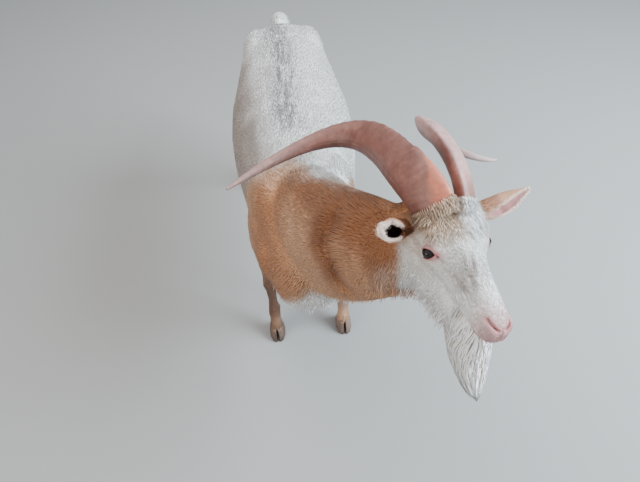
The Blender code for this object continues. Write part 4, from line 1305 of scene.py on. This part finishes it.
def makeBeard():
    rng = np.random.default_rng(301)
    count = int(beardSize["locks"] * (1.0))
    angle = rng.uniform(0, 2 * math.pi, count)
    deep = np.sqrt(rng.uniform(0.55, 1.0, count))
    start = rng.uniform(-0.03, 0.095, count)
    end = np.minimum(start + rng.uniform(0.05, 0.105, count), rng.uniform(0.172, 0.189, count))
    end = np.where(rng.random(count) < 0.18, rng.uniform(0.165, 0.189, count), end)
    steps = np.linspace(0, 1, 6)
    drop = start[:, None] + (end - start)[:, None] * steps
    keys = ("ahead", "aside", "halfWidth", "halfLength")
    ahead, aside, halfWidth, halfLength = (np.interp(drop, beardSize["drop"], beardSize[key]) for key in keys)
    # neighbouring locks drift together, and gather loosely near the ends
    around = np.stack([np.cos(angle), np.sin(angle), start * 6], axis=1)
    turn = angle[:, None] + 0.9 * (softNoise(around, 0.5, 61) - 0.5)[:, None] * ramp(0.0, 1.0, steps)
    bunch = np.round(angle / 0.35) * 0.35 + 0.1
    turn = turn + (bunch - angle)[:, None] * ramp(0.5, 1.0, steps) * 0.35
    flare = deep[:, None] * (0.9 + 0.1 * np.sin(steps * math.pi))
    wave = 0.003 * np.sin(steps * 6.0 + 9.0 * softNoise(around, 0.8, 63)[:, None]) * steps
    across = aside + halfWidth * flare * np.sin(turn) + wave
    local = np.stack([across, -ahead - halfLength * flare * np.cos(turn), beardSize["root"] - drop], axis=2)
    path = fromHead(local.reshape(-1, 3)).reshape(local.shape)
    outward = np.stack([np.sin(angle), -np.cos(angle), np.zeros(count)], axis=1) @ headTurn.T
    colours = np.array(shades["white"]) * (1 + rng.normal(0, 0.045, count))[:, None]
    cream = rng.random(count) < 0.04
    colours[cream] = np.array(beardSize["cream"]) * (1 + rng.normal(0, 0.06, cream.sum()))[:, None]
    places = np.stack([0.75 + 0.1 * np.cos(angle) * deep, 0.3 + 0.02 * np.sin(angle)], axis=1)
    sideways, widths = np.cross(outward, [0, 0, -1.0]), rng.uniform(0.0026, 0.005, count)
    return lockPieces(path, sideways, widths, colours, places, (0.6, 1.0, 1.0, 0.85, 0.5), 0.1, (0.94, 1.03))


def makeBeardCore():
    core = nodeCopy("beard", beardSize["coreDepth"])
    core.name = core.data.name = "beard_core"
    remeshed(core, beardSize["coreVoxel"], 6)
    points, normals = pointsOf(core), normalsOf(core)
    strands = softNoise(toHead(points) * [1.0, 1.0, 0.09], 0.0045, 71) - 0.5
    setPoints(core, points + normals * (0.0022 * strands)[:, None])
    # painted shade: the core is darker where its strands dip in and lighter where they stand out
    setColours(core, "coatColour", np.array(shades["white"]) * (0.93 + 0.12 * strands)[:, None])
    core.data.shade_smooth()
    return core


coatObject("beard_locks", makeBeard(), replaced=["beard"])
finished(makeBeardCore(), hair)

# longer hair, by place

skinTree = BVHTree.FromPolygons(coat.points.tolist(), coat.triangles.tolist())
forward, rightward = (headTurn @ np.array(way) for way in ((0, -1.0, -0.1), (-0.8, -0.7, -0.2)))
longHair = {
    "locks_jaw": dict(
        density=80000, along=0.25, out=0.16, way=(0, 0.15, -1.0), fall=1.5,
        length=(0.024, 0.056), width=(0.0016, 0.003), clear=0.0015, spread=0.35, clump=0.012, tones=0.05,
    ),
    "locks_brow": dict(
        density=85000, along=0.2, out=0.03, way=rightward, fall=0.15,
        length=(0.012, 0.036), width=(0.0009, 0.0016), clear=0.0014, spread=0.26, clump=0.016, tones=0.13,
    ),
    "locks_brow_left": dict(
        density=120000, along=0.2, out=0.06, way=forward, fall=0.15,
        length=(0.014, 0.038), width=(0.001, 0.0018), clear=0.0016, spread=0.26, clump=0.014, tones=0.07,
    ),
    "locks_horn": dict(
        density=110000, along=0.15, out=0.35, way=forward * 0.8, fall=0.3,
        length=(0.01, 0.022), width=(0.0009, 0.0018), clear=0.0018, spread=0.3, clump=0.012, tones=0.09,
    ),
    "locks_back": dict(
        density=90000, along=1.0, out=0.03, way=(0, 0.2, 0), fall=0.25, shade="grey",
        length=(0.026, 0.046), width=(0.0007, 0.0014), clear=0.0012, spread=0.3, clump=0.015, tones=0.14,
    ),
    "locks_chest": dict(
        density=34000, along=0.5, out=0.08, way=(0, 0, -0.8), fall=1.0,
        length=(0.028, 0.048), width=(0.002, 0.0034), clear=0.0015, spread=0.28, clump=0.016, tones=0.05,
    ),
    "locks_coronet": dict(
        density=150000, along=0.2, out=0.95, way=(0, 0, -1.0), fall=0.9,
        length=(0.012, 0.02), width=(0.001, 0.0018), clear=0.003, spread=0.2, clump=0.01, tones=0.07,
    ),
    "locks_belly": dict(
        density=15000, along=0.7, out=0.0, way=(0, 0.3, -0.4), fall=0.6,
        length=(0.024, 0.038), width=(0.002, 0.0034), clear=0.0015, spread=0.3, clump=0.016, tones=0.05,
    ),
}
x, y, z = goatPoints.T
side, ahead, up = headPoints[:, 0], -headPoints[:, 1], headPoints[:, 2]
hornFoot = np.linalg.norm((folded(headPoints) - [0.031, -0.062, 0.052]) * [1.0, 0.72, 0.5], axis=1)
isBrow = isHead * ramp(0.03, 0.05, up) * ramp(0.03, 0.05, ahead) * ramp(0.118, 0.085, ahead)
isJaw = isHead * ramp(-0.04, -0.056, up) * ramp(0.232, 0.215, ahead) * ramp(-0.02, 0.02, ahead)
masks = {
    "locks_jaw": isJaw,
    "locks_brow": isBrow * (side < 0.002),
    "locks_brow_left": isBrow * (side >= 0.002),
    "locks_horn": isHead * ramp(0.04, 0.03, hornFoot) * ramp(0.02, 0.04, up),
    "locks_back": isTrunk * ramp(0.05, 0.12, y) * ramp(0.66, 0.58, y) * near(x + 0.016, 0.026) * ramp(0.7, 0.75, z),
    "locks_chest": (isTrunk | isNeck) * ramp(-0.08, -0.18, y) * ramp(0.64, 0.54, z),
    "locks_coronet": isLower * ramp(0.075, 0.06, z),
    "locks_belly": isTrunk * ramp(0.455, 0.43, z),
}
for number, (name, look) in enumerate(longHair.items()):
    locks = longLocks(masks[name], {"shade": None, **look}, 600 + 10 * number)
    coatObject(name, locks)

# horns, ears, eyes and hooves

horn = surface(
    "hornSheath", "hornTone", [(0.009, 0.84, 1.16), (0.0016, 0.9, 1.1)], (0.0006, 0.7),
    Roughness=0.46, Specular_IOR_Level=0.45, Subsurface_Weight=0.06, Subsurface_Scale=0.004,
)
for number, (name, side) in enumerate(sides.items()):
    sheath = makeHorn(name, side)
    coatObject("locks_cuff_" + name, hornCuff(sheath, 500 + number))
    finished(sheath, horn, ["horn_" + name])
earSkin = surface(
    "earSkin", "earTone", [(0.0012, 0.9, 1.1)], (0.0005, 0.6),
    Roughness=0.62, Subsurface_Weight=0.1, Subsurface_Scale=0.006, Subsurface_Radius=(1.0, 0.35, 0.25),
)
for number, name in enumerate(sides):
    ear, values = makeEar(name)
    finished(ear, earSkin, ["ear_" + name])
    coatObject("coat_ear_" + name, earCoat(ear, values, 400 + number))
wetEye = eyeMaterial()
for name, side in sides.items():
    finished(makeEye(name, side), wetEye, ["eye_" + name])
hoofWall = surface(
    "hoofWall", "hoofTone", [(0.0022, 0.82, 1.15)], (0.0008, 0.8), stretch=(1.0, 1.0, 0.2),
    Roughness=0.55, Specular_IOR_Level=0.35,
)
for leg in ("fore", "hind"):
    for side in sides:
        hoof, names = makeHoof(leg, side)
        finished(hoof, hoofWall, names)
print("pieces made")

# floor, light and camera

studio = {
    "floor": 9.0,
    "sky": 0.78,
    "skyColour": (0.86, 0.93, 1.0, 1),
    "lights": {  # place, target, width, power and colour
        "key": ((2.5, -0.7, 2.5), (0.0, 0.0, 0.6), 2.0, 400, (0.76, 0.89, 1.0)),
        "top": ((-0.6, 0.6, 3.2), (0.0, 0.1, 0.6), 2.4, 80, (1.0, 0.97, 0.95)),
        "fill": ((-2.6, -1.8, 1.4), (0.0, -0.1, 0.6), 1.6, 62, (1.0, 0.88, 0.78)),
    },
}
deselectAll()
bpy.ops.mesh.primitive_plane_add(size=studio["floor"], location=(0, 0, 0))
floor = bpy.context.active_object
floor.name = "floor"
floor.data.materials.append(newMaterial("paleFloor", Roughness=0.9, Base_Color=(0.27, 0.265, 0.255, 1))[0])
floor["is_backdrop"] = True

world = bpy.data.worlds.new("studio")
bpy.context.scene.world = world
world.use_nodes = True
sky = world.node_tree.nodes["Background"].inputs
sky["Color"].default_value = studio["skyColour"]
sky["Strength"].default_value = studio["sky"]

for name, (place, target, width, power, colour) in studio["lights"].items():
    lamp = bpy.data.lights.new(name, "AREA")
    lamp.shape = "RECTANGLE"
    lamp.size = lamp.size_y = width
    lamp.energy, lamp.color = power, colour
    light = linked(name, lamp)
    light.location = place
    light.rotation_euler = (Vector(target) - Vector(place)).to_track_quat("-Z", "Y").to_euler()

lens = {"place": (-0.0456, -0.81, 1.534), "turn": 6.4, "drop": 53.6, "roll": -0.8, "focal": 26.28, "sensor": 36.0}
cameraData = bpy.data.cameras.new("camera")
cameraData.lens, cameraData.sensor_width = lens["focal"], lens["sensor"]
camera = linked("camera", cameraData)
turn, drop = math.radians(lens["turn"]), math.radians(lens["drop"])
look = Vector((math.sin(turn) * math.cos(drop), math.cos(turn) * math.cos(drop), -math.sin(drop)))
spin = look.to_track_quat("-Z", "Y").to_matrix().to_4x4() @ Matrix.Rotation(math.radians(lens["roll"]), 4, "Z")
camera.matrix_world = Matrix.Translation(Vector(lens["place"]) + Vector(goatShift)) @ spin
bpy.context.scene.camera = camera

sizes = [[list(corner) for corner in bounds] for bounds in (cadBounds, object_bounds())]
print("box of the CAD", sizes[0], "and of the visual model", sizes[1])
